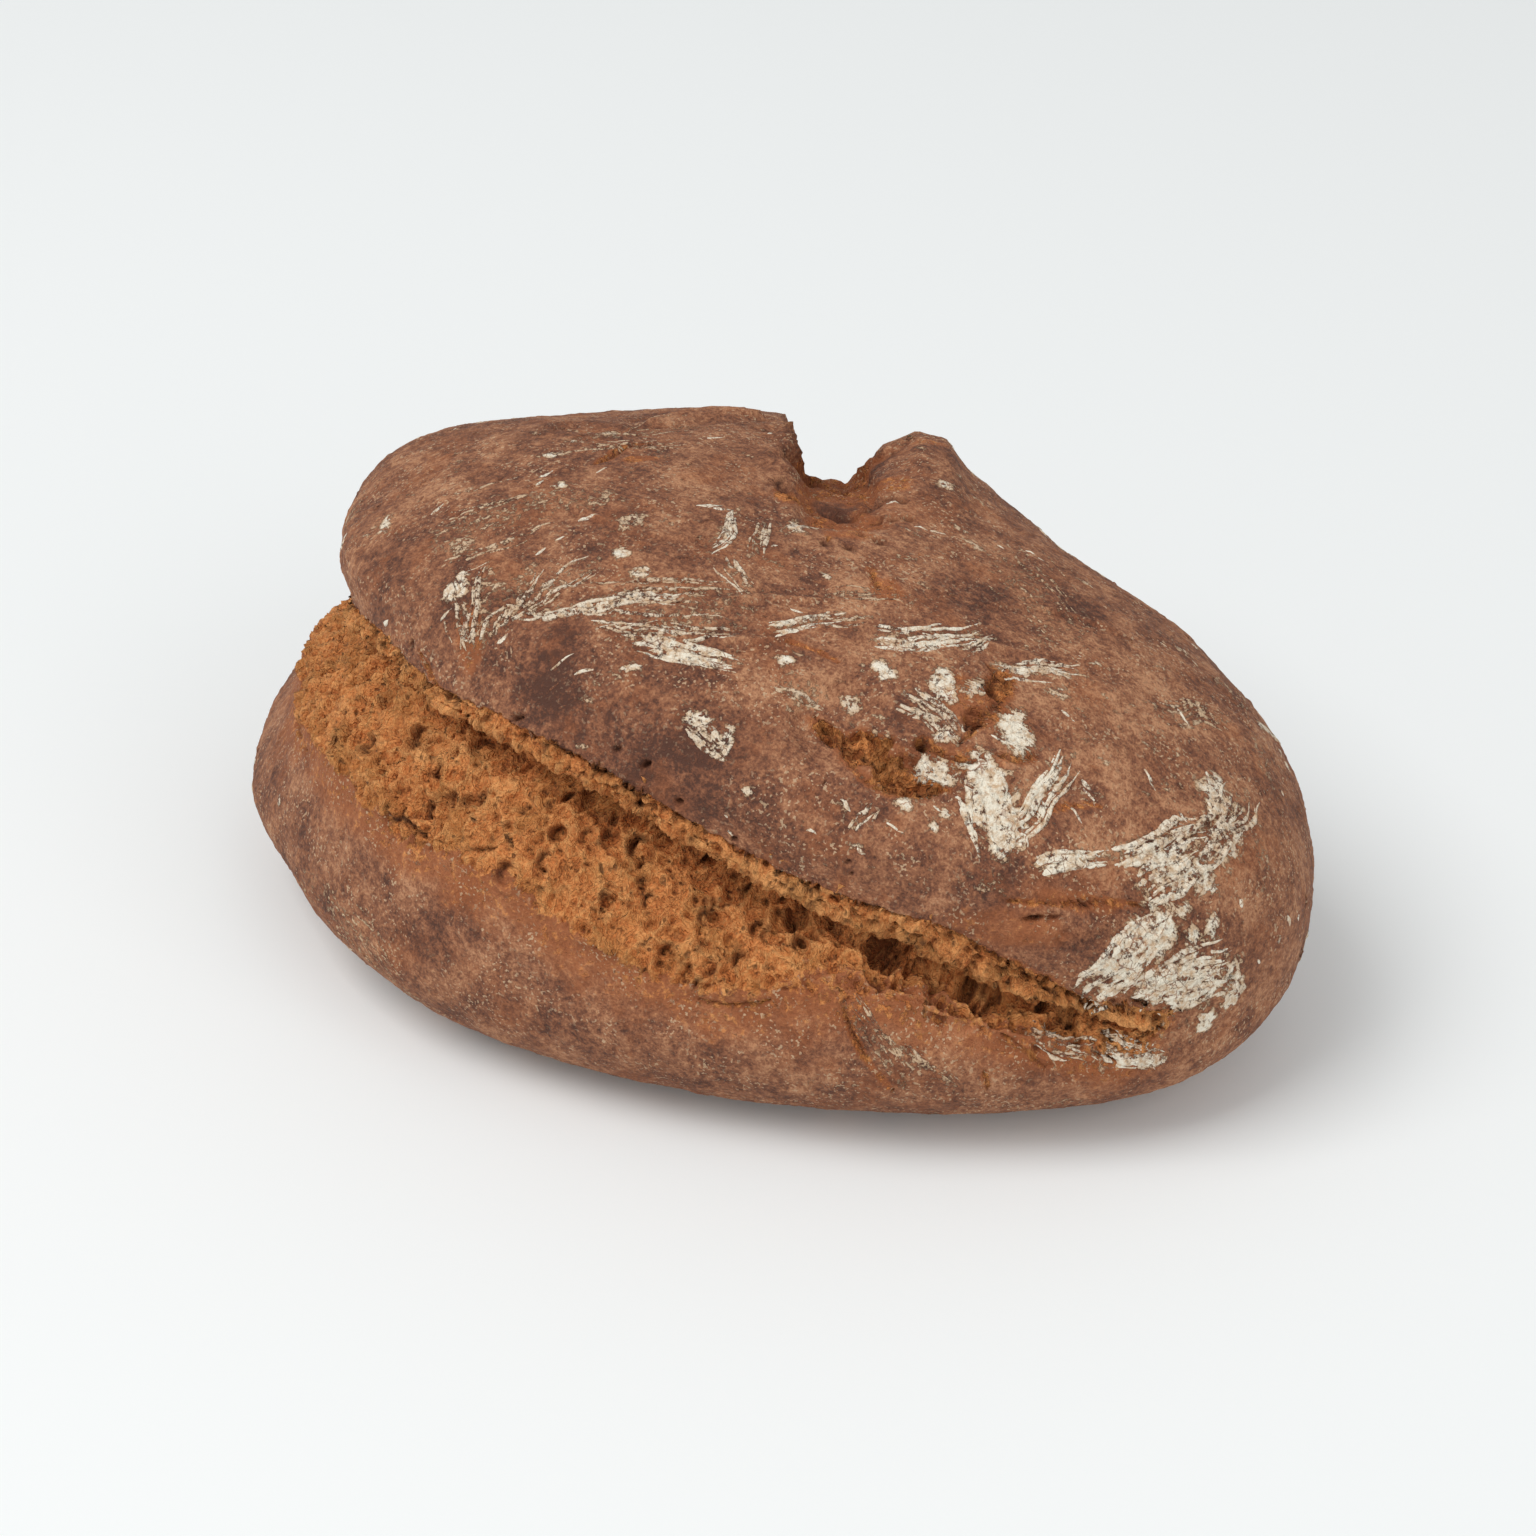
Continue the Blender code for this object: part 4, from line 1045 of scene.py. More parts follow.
def scatter_pores(surface):
    """Pores all over the torn crumb: many small ones, fewer wide ones."""
    chance = np.random.default_rng(PORE_SEED)
    torn = np.flatnonzero((surface.crumb > 0.6) & (surface.row <= surface.edge_row + 3) | (surface.crumb > 0.75))
    tree = kdtree.KDTree(len(torn))
    for place, number in enumerate(torn.tolist()):
        tree.insert(surface.points[number], place)
    tree.balance()
    wanted = chance.permutation(torn)[:BUBBLE_COUNT + PORE_COUNT]
    lip_band = torn[(surface.row[torn] > surface.edge_row - WALL_ROWS - RIDGE_ROWS) & ~surface.on_lid[torn]]
    wanted = np.concatenate([wanted, chance.choice(lip_band, LIP_PORE_COUNT, replace=False)])
    for rank, number in enumerate(wanted.tolist()):
        bubble = rank < BUBBLE_COUNT
        spread = chance.random(3)
        size = (1.0 + 1.9 * spread[0] ** 2 if bubble else 0.42 + 0.65 * spread[0] ** 2) * MM
        centre = surface.points[number]
        found = tree.find_range(centre, size * 1.6)
        near = torn[[place for _, place, _ in found]]
        across, up = net_frame(surface, number)
        away = surface.points[near] - centre
        along, over = away @ across, away @ up
        turn = math.radians(-70.0 + 60.0 * spread[1])
        turned = np.hypot((along * math.cos(turn) + over * math.sin(turn)) / (1.3 * size),
                          (over * math.cos(turn) - along * math.sin(turn)) / (0.85 * size))
        turned = turned * (1.0 + 0.4 * mist(surface.points[near], 1.8 * MM, 25))
        toward = (along * LIGHT_SIDE[0] + over * LIGHT_SIDE[1]) / np.maximum(np.hypot(along, over), 1e-9)
        # Both kinds carry painted shade: press and crescent darken the pores as well as sinking them
        if bubble:
            crescent(surface, near, turned, toward, size * (0.35 + 0.3 * spread[2]), 0.3 + 0.4 * spread[2])
        else:
            press(surface, near, turned, toward, size * (0.8 + 0.6 * spread[2]), 0.3, 0.3 + 0.6 * spread[2])


def lay_crumb(surface):
    """Where the crust has torn open, and the crumb's own furrow, lumps and strands, with painted light and shade that
    follow the relief of crumb and crust.
    """
    points = surface.points
    torn_line = 0.6 * MM + 4.6 * MM * layered(points, 12.0 * MM, 2) + 2.6 * MM * layered(points, 3.5 * MM, 3)
    low_fade = surface.up - torn_line
    open_here = ramp(0.02, 0.35, surface.strength) * ~surface.on_lid
    crumb = ramp(-2.6 * MM, 3.2 * MM, low_fade) * open_here
    skirt = 0.3 * ramp(-15.0 * MM, -1.0 * MM, low_fade) * open_here * (surface.points[:, 2] > 6.0 * MM)
    behind_crown = ramp(4.0 * MM, 55.0 * MM, points[:, 1])
    aside_way = np.array([SPLIT_WAY[1], -SPLIT_WAY[0], 0.0])
    wander = 4.5 * MM * behind_crown * layered(points, 15.0 * MM, 73)
    down = -split_shift(points + PLAN_SHIFT + wander[:, None] * aside_way)
    split = ramp(0.5 * MM, 4.0 * MM, down + 3.0 * MM * layered(points, 6.0 * MM, 4)) * surface.on_lid
    under = (surface.ring > LID_RINGS) & surface.on_lid
    crumb = np.where(under & (surface.strength > 0.1), 0.85, crumb)
    bared = 0.3 + 0.04 * behind_crown + 0.24 * layered(points, 7.0 * MM, 69)
    surface.crumb = np.maximum.reduce([surface.crumb, crumb, skirt, bared * split])
    surface.shade -= 0.22 * split
    surface.relief += MM * split * (1.1 * layered(points, 3.4 * MM, 68)
                                    + 1.4 * behind_crown * layered(points, 10.0 * MM, 74))
    surface.shade += 0.22 * split * layered(points, 4.2 * MM, 70)
    groove_row = surface.first_burst_row + SLOPE_ROWS
    ridge_row = groove_row + WALL_ROWS
    furrow = np.exp(-((surface.row - groove_row) / 7.0) ** 2) * open_here
    ridge = np.exp(-((surface.row - ridge_row) / 7.0) ** 2) * open_here
    uneven = 1.0 + 0.6 * layered(points, 9.0 * MM, 40)
    surface.relief += (0.7 * ridge - 1.3 * furrow) * uneven * MM
    # Painted shade darkens the furrow, and the ridge above it is made paler
    surface.shade += 0.16 * ridge - 0.3 * furrow * uneven
    band = np.exp(-((surface.row - ridge_row) / 11.0) ** 2) * open_here
    surface.shade += 0.1 * band
    strands = mist(np.stack([surface.around / 1.0, surface.up / 6.5, 0.0 * surface.up], axis=1), MM, 41)
    strands += 0.6 * mist(np.stack([surface.around / 2.3, surface.up / 12.0, 0.0 * surface.up], axis=1), MM, 49)
    lumps = 0.8 * layered(points, 7.0 * MM, 42) + 0.45 * layered(points, 2.6 * MM, 43)
    webs = 0.9 * (0.35 - np.abs(layered(points, 4.2 * MM, 64))) + 0.5 * (0.3 - np.abs(layered(points, 1.9 * MM, 65, 2)))
    fine = 0.28 * mist(points, 1.1 * MM, 44) + 0.24 * strands * ~surface.on_lid + webs
    torn = ramp(0.25, 0.6, surface.crumb)
    surface.relief += torn * (1.2 * lumps + fine) * MM
    # Painted light and shade: the torn crumb is paler where its lumps and fine relief rise and darker where they sink
    surface.shade += torn * (0.1 * lumps + 0.14 * fine)
    open_crumb = np.flatnonzero(torn > 0.0)
    inside = points[open_crumb] * (1.0, 1.0, 0.62)
    inside = inside + 1.2 * MM * np.stack([mist(inside, 3.0 * MM, 72 + axis) for axis in range(3)], axis=1)
    for size, depth, seed in CRUMB_CELLS:
        walls = cell_walls(inside, size * MM, seed)
        there = torn[open_crumb] * ramp(-0.45, 0.15, layered(points[open_crumb], 2.6 * size * MM, seed + 90, 2))
        surface.relief[open_crumb] += depth * MM * there * (walls - 0.6)
        # Painted light and shade: the raised cell walls are paler and the sunken floors darker
        surface.shade[open_crumb] += 0.34 * there * (walls - 0.45)
    crust = 1.0 - torn
    drawn_out = np.stack([points[:, 0] * 0.3, points[:, 1], points[:, 2]], axis=1)
    wrinkles = 0.25 * layered(points, 13.0 * MM, 45) + 0.22 * layered(points, 3.0 * MM, 46)
    wrinkles += 0.1 * layered(drawn_out, 2.0 * MM, 60) + 0.16 * ramp(0.1, 0.22, layered(points, 9.0 * MM, 61))
    blisters = 0.45 * ramp(0.55, 0.8, mist(points, 3.2 * MM, 62)) * ramp(0.0, 0.4, mist(points, 20.0 * MM, 63))
    to_lip = (LID_RINGS - surface.ring) * surface.on_lid * 0.65 * MM + points[:, 2] * ~surface.on_lid
    flow = np.stack([points[:, 0] * 0.22, points[:, 1] * 0.22, to_lip], axis=1)
    folds = layered(flow, 2.6 * MM, 66) * ramp(-0.25, 0.5, layered(points, 24.0 * MM, 67))
    surface.relief += crust * (wrinkles + blisters + 0.3 * folds) * MM
    # Painted light and shade: the crust is paler where its folds and wrinkles rise and darker where they sink
    surface.shade += crust * (0.12 * folds + 0.3 * wrinkles)
    surface.shade += 0.14 * layered(points, 26.0 * MM, 47) + 0.1 * layered(points, 7.0 * MM, 48)
    lip = np.exp(-((surface.ring - LID_RINGS) / 5.0) ** 2) * surface.on_lid * surface.strength
    surface.relief += 0.45 * MM * lip * (surface.ring <= LID_RINGS)
    above = (surface.row - surface.edge_row) * ~surface.on_lid
    surface.relief -= 0.5 * MM * ramp(-5.0, 0.0, above) * ~surface.on_lid * surface.strength
    surface.relief -= 0.4 * MM * ramp(0.0, 3.0, above)


def lay_flour(surface):
    """Flour over the whole crust: a dusting, specks, and streaks that follow the dough's stretch."""
    points = surface.points
    dust = ramp(-0.1, 0.9, layered(points, 24.0 * MM, 51)) * ramp(-0.2, 0.7, layered(points, 3.0 * MM, 52))
    streak_way = np.stack([points[:, 0] * 0.22, points[:, 1], points[:, 2]], axis=1)
    streaks = ramp(0.3, 0.6, layered(streak_way, 2.6 * MM, 53)) * ramp(-0.25, 0.35, layered(points, 20.0 * MM, 54))
    surface.flour = np.maximum(surface.flour, dust * (0.34 + 0.16 * ramp(10.0 * MM, 90.0 * MM, points[:, 0])))
    surface.flour = np.maximum(surface.flour, 0.62 * streaks * ramp(38 * MM, 56 * MM, points[:, 2]))
    surface.relief += 0.2 * MM * streaks * surface.on_lid
    low = 1.0 - ramp(4.0 * MM, 13.0 * MM, points[:, 2] + 3.0 * MM * layered(points, 12.0 * MM, 55))
    surface.flour = np.maximum(surface.flour, 0.5 * low * ramp(-0.6, 0.5, layered(points, 4.0 * MM, 56)))


def shut_rows(surface, points):
    """Turns the hidden edges in: the crumb under the crust's lip, and the lip's own underside."""
    inward = -level_direction(surface.heading)
    under = surface.on_lid & (surface.ring > LID_RINGS)
    steps = (surface.ring[under] - LID_RINGS).astype(float)
    sink = np.interp(steps, UNDER_STEPS, UNDER_SINK) * MM
    back = np.interp(steps, UNDER_STEPS, UNDER_BACK) * MM
    open_share = np.maximum(surface.strength[under], 0.12)
    points[under] += inward[under] * (back * open_share)[:, None]
    points[under, 2] -= sink * open_share
    behind = ~surface.on_lid & (surface.row > surface.edge_row + BEHIND_ROWS)
    steps = surface.row[behind] - surface.edge_row - BEHIND_ROWS
    points[behind] += inward[behind] * (BEHIND_STEP * steps)[:, None]
    return points


@functools.lru_cache(maxsize=1)
def fine_surface():
    """The finished surface of the whole loaf, from which each piece takes its part."""
    surface = Surface()
    mark_torn_patches(surface)
    lay_crumb(surface)
    mark_tones(surface)
    mark_stains(surface)
    mark_rolls(surface)
    mark_flour(surface)
    mark_far_side(surface)
    lay_flour(surface)
    mark_caves(surface)
    scatter_pores(surface)
    mark_holes(surface)
    mark_cracks(surface)
    surface.relief *= ramp(BASE_EDGE_LIFT, FULL_RELIEF_LIFT, surface.lift)
    points = shut_rows(surface, surface.points + surface.normals * surface.relief[:, None])
    low, high = np.array(CAD_BOX)
    surface.final = np.clip(points, low, high)
    surface.final_normals = corner_normals(surface.final, surface.faces)
    join_normals(surface)
    return surface


def join_normals(surface):
    """Gives the crust's edge the same normals on both sides where it hasn't torn open."""
    edge = surface.ring_index[surface.edge_row, :-1]
    border = np.flatnonzero(surface.on_lid & (surface.ring == LID_RINGS))
    turn = (np.round(lid_places()[1].ravel()[border - surface.rows * COLUMNS] * COLUMNS)).astype(int) % COLUMNS
    partner = edge[turn]
    shut = (1.0 - ramp(0.0, 0.1, surface.strength[border]))[:, None]
    both = surface.final_normals[border] + surface.final_normals[partner]
    both /= np.linalg.norm(both, axis=1, keepdims=True)
    for numbers in (border, partner):
        mixed = surface.final_normals[numbers] * (1.0 - shut) + both * shut
        surface.final_normals[numbers] = mixed / np.linalg.norm(mixed, axis=1, keepdims=True)


# Materials
class Tree:
    """Adds nodes to a material, linking what is linked and setting the rest."""

    def __init__(self, material):
        self.nodes, self.links = material.node_tree.nodes, material.node_tree.links

    def add(self, kind, inputs=(), **settings):
        node = self.nodes.new(kind)
        for name, value in settings.items():
            setattr(node, name, value)
        for name, value in dict(inputs).items():
            if isinstance(value, bpy.types.NodeSocket):
                self.links.new(value, node.inputs[name])
            else:
                node.inputs[name].default_value = value
        return node

    def math(self, operation, *values, clamp=False):
        node = self.add("ShaderNodeMath", operation=operation, use_clamp=clamp)
        for socket, value in zip(node.inputs, values):
            if isinstance(value, bpy.types.NodeSocket):
                self.links.new(value, socket)
            else:
                socket.default_value = value
        return node.outputs[0]

    def span(self, value, low, high, start=0.0, end=1.0):
        node = self.add("ShaderNodeMapRange", {"Value": value, "From Min": low, "From Max": high,
                                               "To Min": start, "To Max": end}, interpolation_type="SMOOTHSTEP")
        return node.outputs[0]

    def noise(self, place, size, detail=3.0, rough=0.55, kind="FBM"):
        node = self.add("ShaderNodeTexNoise", {"Vector": place, "Scale": 1.0 / size, "Detail": detail,
                                               "Roughness": rough}, noise_type=kind)
        return node.outputs["Fac"]

    def bent(self, place, size, reach):
        """The place, pushed about by noise."""
        push = self.add("ShaderNodeTexNoise", {"Vector": place, "Scale": 1.0 / size, "Detail": 2.0}).outputs["Color"]
        push = self.add("ShaderNodeVectorMath", {0: push, 1: (0.5, 0.5, 0.5)}, operation="SUBTRACT").outputs[0]
        push = self.add("ShaderNodeVectorMath", {0: push, "Scale": 2.0 * reach}, operation="SCALE").outputs[0]
        return self.add("ShaderNodeVectorMath", {0: place, 1: push}, operation="ADD").outputs[0]

    def mix(self, share, first, second, blend="MIX"):
        node = self.add("ShaderNodeMix", data_type="RGBA", blend_type=blend)
        for socket, value in ((node.inputs[0], share), (node.inputs[6], first), (node.inputs[7], second)):
            if isinstance(value, bpy.types.NodeSocket):
                self.links.new(value, socket)
            else:
                socket.default_value = value
        return node.outputs[2]

    def shades(self, value, stops):
        node = self.add("ShaderNodeValToRGB", {"Fac": value})
        ramp_stops = node.color_ramp.elements
        while len(ramp_stops) < len(stops):
            ramp_stops.new(0.5)
        for stop, (place, colour) in zip(ramp_stops, stops):
            stop.position = place
            stop.color = (*colour, 1.0)
        return node.outputs["Color"]


def loaf_material(name):
    """Crust, flour and crumb, mixed by the finish that each corner of the surface carries."""
    colours = bpy.context.scene.loaf_colours
    material = bpy.data.materials.new(name)
    material.use_nodes = True
    tree = Tree(material)
    shader = tree.nodes["Principled BSDF"]
    finish = tree.add("ShaderNodeAttribute", attribute_name="finish", attribute_type="GEOMETRY")
    parts = tree.add("ShaderNodeSeparateColor", {"Color": finish.outputs["Color"]})
    crumb, flour, shade = parts.outputs
    # The finish's alpha is painted shade in holes, pores, cracks and caves
    pit_shade = finish.outputs["Alpha"]
    place = tree.add("ShaderNodeTexCoord").outputs["Object"]

    wide = tree.noise(place, 9.0 * MM, 3.0)
    small = tree.noise(place, 1.6 * MM, 3.0, 0.6)
    grain = tree.noise(place, 0.55 * MM, 2.0, 0.6)
    tone = tree.math("ADD", shade, tree.span(wide, 0.3, 0.7, -0.18, 0.18))
    tone = tree.math("ADD", tone, tree.span(small, 0.25, 0.75, -0.24, 0.24))
    tone = tree.math("ADD", tone, tree.span(grain, 0.25, 0.75, -0.2, 0.2), clamp=True)
    crust = tree.shades(tone, ((0.05, colours.crust_darkest), (0.34, colours.crust_dark),
                               (0.6, colours.crust), (0.95, colours.crust_pale)))
    ruddy = tree.span(tree.noise(place, 14.0 * MM, 4.0, 0.65), 0.5, 0.66)
    crust = tree.mix(tree.math("MULTIPLY", ruddy, 0.25), crust, (*colours.crust_ruddy, 1.0))
    crust = tree.mix(tree.span(crumb, 0.02, 0.3, 0.0, 0.6), crust, (*colours.crust_ruddy, 1.0))
    speck = tree.span(tree.noise(place, 0.75 * MM, 1.0, 0.5), 0.6, 0.67)
    speck_zone = tree.span(tree.noise(place, 8.0 * MM, 3.0), 0.42, 0.6, 0.06, 1.0)
    speck_zone = tree.math("MULTIPLY", speck_zone, tree.span(shade, 0.15, 0.5, 0.25, 1.0))
    speck = tree.math("MULTIPLY", speck, 0.75)
    crust = tree.mix(tree.math("MULTIPLY", speck, speck_zone), crust, (*colours.flour_thin, 1.0))

    patchy = tree.noise(place, 1.5 * MM, 4.0, 0.75)
    cover = powder = tree.span(tree.math("ADD", flour, tree.span(patchy, 0.3, 0.7, -0.5, 0.5)), 0.4, 0.68)
    bent = tree.bent(place, 2.0 * MM, 1.2 * MM)
    cells = tree.add("ShaderNodeTexVoronoi", {"Vector": bent, "Scale": 1.0 / (2.6 * MM)},
                     feature="DISTANCE_TO_EDGE").outputs["Distance"]
    crackle = tree.span(cells, 0.01, 0.06)
    cracked_zone = tree.span(tree.noise(place, 6.0 * MM, 2.0), 0.46, 0.58)
    gap = tree.math("MULTIPLY", tree.math("SUBTRACT", 1.0, crackle), cracked_zone)
    cover = tree.math("MULTIPLY", cover, tree.math("SUBTRACT", 1.0, tree.math("MULTIPLY", gap, 0.8)))
    cover = tree.math("MULTIPLY", cover, tree.span(flour, 0.02, 0.5, 0.25, 1.0))
    flour_tone = tree.shades(tree.noise(place, 1.8 * MM, 3.0, 0.75), ((0.36, colours.flour_thin),
                                                                      (0.56, colours.flour)))
    flour_tone = tree.mix(tree.span(flour, 0.45, 0.95), (*colours.flour_thin, 1.0), flour_tone)
    crust = tree.mix(cover, crust, flour_tone)

    lumps = tree.noise(place, 4.5 * MM, 3.0, 0.62)
    inner = tree.math("ADD", tree.span(lumps, 0.3, 0.72, 0.3, 0.7), tree.span(grain, 0.25, 0.75, -0.3, 0.3))
    inner = tree.math("ADD", inner, tree.math("MULTIPLY", tree.math("SUBTRACT", shade, 0.5), 1.1), clamp=True)
    torn = tree.shades(inner, ((0.0, colours.crumb_dark), (0.45, colours.crumb), (1.0, colours.crumb_pale)))
    olive = tree.span(tree.noise(place, 8.0 * MM, 3.0), 0.45, 0.65, 0.0, 0.5)
    torn = tree.mix(olive, torn, (*colours.crumb_olive, 1.0))
    drawn = tree.add("ShaderNodeVectorMath", {0: tree.bent(place, 6.0 * MM, 2.6 * MM), 1: (1.0, 1.0, 0.5)},
                     operation="MULTIPLY").outputs[0]
    web = tree.math("ABSOLUTE", tree.math("SUBTRACT", tree.noise(drawn, 2.1 * MM, 3.0, 0.6), 0.5))
    fibres = tree.span(web, 0.0, 0.09, 1.0, 0.0)
    hollow = tree.span(web, 0.07, 0.2)
    # Painted light and shade: the fibres, which the bump raises, are paler, and the hollows between them, which it
    # sinks, darker
    torn = tree.mix(tree.math("MULTIPLY", fibres, 0.3), torn, (*colours.crumb_pale, 1.0))
    torn = tree.mix(tree.math("MULTIPLY", hollow, 0.4), torn, (*colours.crumb_dark, 1.0))
    # Painted shade: the pores, which the bump sinks, and the places marked by the pit attribute are darkened towards
    # the pit colours
    holes = tree.add("ShaderNodeTexVoronoi", {"Vector": drawn, "Scale": 1.0 / (1.5 * MM)}).outputs["Distance"]
    hole_zone = tree.span(lumps, 0.5, 0.64)
    hole = tree.math("MULTIPLY", tree.span(holes, 0.14, 0.36, 1.0, 0.0), hole_zone)
    torn = tree.mix(tree.math("MULTIPLY", hole, 0.7), torn, (*colours.crumb_pit, 1.0))
    torn = tree.mix(pit_shade, torn, (*colours.crumb_pit, 1.0))
    crust = tree.mix(pit_shade, crust, (*colours.crust_pit, 1.0))
    frayed = tree.span(tree.math("ADD", crumb, tree.span(small, 0.3, 0.7, -0.3, 0.3)), 0.32, 0.66)
    colour = tree.mix(frayed, crust, torn)
    tree.links.new(colour, shader.inputs["Base Color"])

    rough = tree.span(grain, 0.2, 0.8, 0.68, 0.9)
    tree.links.new(rough, shader.inputs["Roughness"])
    shader.inputs["Specular IOR Level"].default_value = 0.25
    skin = tree.math("ADD", tree.math("MULTIPLY", small, 0.7), tree.math("MULTIPLY", grain, 0.45))
    skin = tree.math("ADD", skin, tree.math("MULTIPLY", powder, 0.45))
    inside = tree.math("ADD", tree.math("MULTIPLY", fibres, 0.4), tree.math("MULTIPLY", grain, 0.3))
    inside = tree.math("SUBTRACT", inside, tree.math("MULTIPLY", hollow, 0.3))
    inside = tree.math("SUBTRACT", inside, tree.math("MULTIPLY", hole, 0.9))
    height = tree.math("ADD", tree.math("MULTIPLY", skin, tree.math("SUBTRACT", 1.0, frayed)),
                      tree.math("MULTIPLY", inside, frayed))
    bump = tree.add("ShaderNodeBump", {"Height": height, "Strength": 0.9, "Distance": 1.2 * MM})
    tree.links.new(bump.outputs["Normal"], shader.inputs["Normal"])
    return material


# Pieces
def net_piece(name, index, material):
    """A net of the surface as one piece: a flat grid whose corners are moved to their places on the loaf."""
    surface = fine_surface()
    rows, columns = index.shape
    bpy.ops.object.select_all(action="DESELECT")
    bpy.ops.mesh.primitive_grid_add(x_subdivisions=columns - 1, y_subdivisions=rows - 1, size=0.2)
    piece = bpy.context.object
    piece.name = piece.data.name = name
    mesh = piece.data
    numbers = index.ravel()
    mesh.vertices.foreach_set("co", surface.final[numbers].ravel())
    # The finish carries the crumb's share, the flour, the shade with its painted light and shade, and painted shade in
    # holes and cracks
    finish = np.stack([surface.crumb, surface.flour, surface.shade, surface.pit_shade], axis=1)[numbers]
    layer = mesh.color_attributes.new("finish", "FLOAT_COLOR", "POINT")
    layer.data.foreach_set("color", np.clip(finish, 0.0, 1.0).ravel())
    facing = mesh.attributes.new("facing", "FLOAT_VECTOR", "POINT")
    facing.data.foreach_set("vector", surface.final_normals[numbers].ravel())
    bpy.ops.object.mode_set(mode="EDIT")
    bpy.ops.mesh.select_all(action="SELECT")
    bpy.ops.mesh.remove_doubles(threshold=0.001 * MM)
    bpy.ops.object.mode_set(mode="OBJECT")
    bpy.ops.object.shade_smooth()
    normals = np.empty(3 * len(mesh.vertices))
    mesh.attributes["facing"].data.foreach_get("vector", normals)
    mesh.normals_split_custom_set_from_vertices(normals.reshape(-1, 3).tolist())
    mesh.attributes.remove(mesh.attributes["facing"])
    for layer in list(mesh.uv_layers):
        mesh.uv_layers.remove(layer)
    finish_piece(piece, material)


def finish_piece(piece, material):
    """Gives a piece its material and body, and hides the imported loaf that it replaces."""
    piece.data.materials.append(material)
    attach(piece, "root")
    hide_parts("loaf")


def ridge_piece(name, material):
    """All the ridges as one piece: short strips with a rounded top, half sunk in the crust."""
    surface = fine_surface()
    tree = bvhtree.BVHTree.FromPolygons(surface.final.tolist(), surface.faces.tolist())
    corners, faces, finish = [], [], []
    across = len(RIDGE_SECTION)
    for seed, (path, half_width, height, amount) in enumerate(ridge_paths(surface)):
        rings = ridge_line(tree, path, half_width, height, 400 + seed)
        first, count = len(corners), len(rings) // across
        corners += rings
        for ring in range(count - 1):
            for place in range(across - 1):
                here = first + ring * across + place
                faces.append((here, here + across, here + across + 1, here + 1))
            here = first + ring * across
            faces.append((here, here + across - 1, here + 2 * across - 1, here + across))
        last = first + (count - 1) * across
        faces.append(tuple(range(first, first + across)))
        faces.append(tuple(range(last + across - 1, last - 1, -1)))
        finish += [(0.0, amount * (0.7 if high < 0.0 else 1.0), 0.45, 0.0) for _, high in RIDGE_SECTION] * count
    mesh = bpy.data.meshes.new(name)
    mesh.from_pydata(np.clip(np.array(corners), *np.array(CAD_BOX)).tolist(), [], faces)
    layer = mesh.color_attributes.new("finish", "FLOAT_COLOR", "POINT")
    layer.data.foreach_set("color", np.array(finish).ravel())
    piece = bpy.data.objects.new(name, mesh)
    bpy.context.scene.collection.objects.link(piece)
    bpy.ops.object.select_all(action="DESELECT")
    piece.select_set(True)
    bpy.context.view_layer.objects.active = piece
    bpy.ops.object.mode_set(mode="EDIT")
    bpy.ops.mesh.select_all(action="SELECT")
    bpy.ops.mesh.normals_make_consistent(inside=False)
    bpy.ops.object.mode_set(mode="OBJECT")
    bpy.ops.object.shade_smooth()
    finish_piece(piece, material)


class LoafColours(bpy.types.PropertyGroup):
    """Colours of the loaf's finishes."""


class LoafStage(bpy.types.PropertyGroup):
    """Sizes and strengths of the studio stage."""

    floor_size: FloatProperty(name="Floor size", description="Length of the floor's sides", default=7.0,
                              unit="LENGTH", subtype="DISTANCE")
    floor_colour: FloatVectorProperty(name="Floor colour", description="Colour of the pale floor",
                                      default=(0.855, 0.87, 0.865), subtype="COLOR", size=3, min=0.0, max=1.0)
    floor_glow: FloatProperty(name="Floor glow", description="Light that the white light table gives off",
                              default=0.04)
    key_power: FloatProperty(name="Key light", description="Power of the soft light above and to the left",
                             default=32.5, unit="POWER")
    fill_power: FloatProperty(name="Fill light", description="Power of the weaker soft light on the right",
                              default=7.5, unit="POWER")
    sky_strength: FloatProperty(name="Room light", description="Strength of the even light of the room",
                                default=0.54)


# The colours for cracks in the crust and for the depth of the pores are painted shade, towards which holes, cracks,
# pores and caves are darkened
COLOURS = (
    ("crust_darkest", "Darkest crust", (86, 55, 43)),
    ("crust_dark", "Dark crust", (122, 77, 56)),
    ("crust", "Crust", (152, 101, 72)),
    ("crust_pale", "Pale crust", (190, 138, 102)),
    ("crust_ruddy", "Ruddy crust", (164, 94, 52)),
    ("crust_pit", "Cracks in the crust", (66, 34, 22)),
    ("flour_thin", "Thin flour", (206, 174, 140)),
    ("flour", "Flour", (240, 230, 210)),
    ("crumb_dark", "Dark crumb", (128, 70, 33)),
    ("crumb", "Crumb", (206, 124, 66)),
    ("crumb_pale", "Pale crumb", (226, 158, 96)),
    ("crumb_olive", "Olive crumb", (166, 110, 56)),
    ("crumb_pit", "Depth of the pores", (60, 30, 16)),
)
for key, label, screen in COLOURS:
    LoafColours.__annotations__[key] = FloatVectorProperty(
        name=label, description=f"Colour of this part of the finish: {label.lower()}", subtype="COLOR", size=3,
        min=0.0, max=1.0, default=linear(*screen))


class OBJECT_OT_loaf_lower_crust(bpy.types.Operator):
    """Make the lower crust, from the base to the burst"""

    bl_idname = "object.loaf_lower_crust"
    bl_label = "Lower crust"

    def execute(self, context):
        surface = fine_surface()
        rows = surface.ring_index[:surface.first_burst_row + 1]
        net_piece("crust_side", rows, loaf_material("crust_side"))
        return {"FINISHED"}


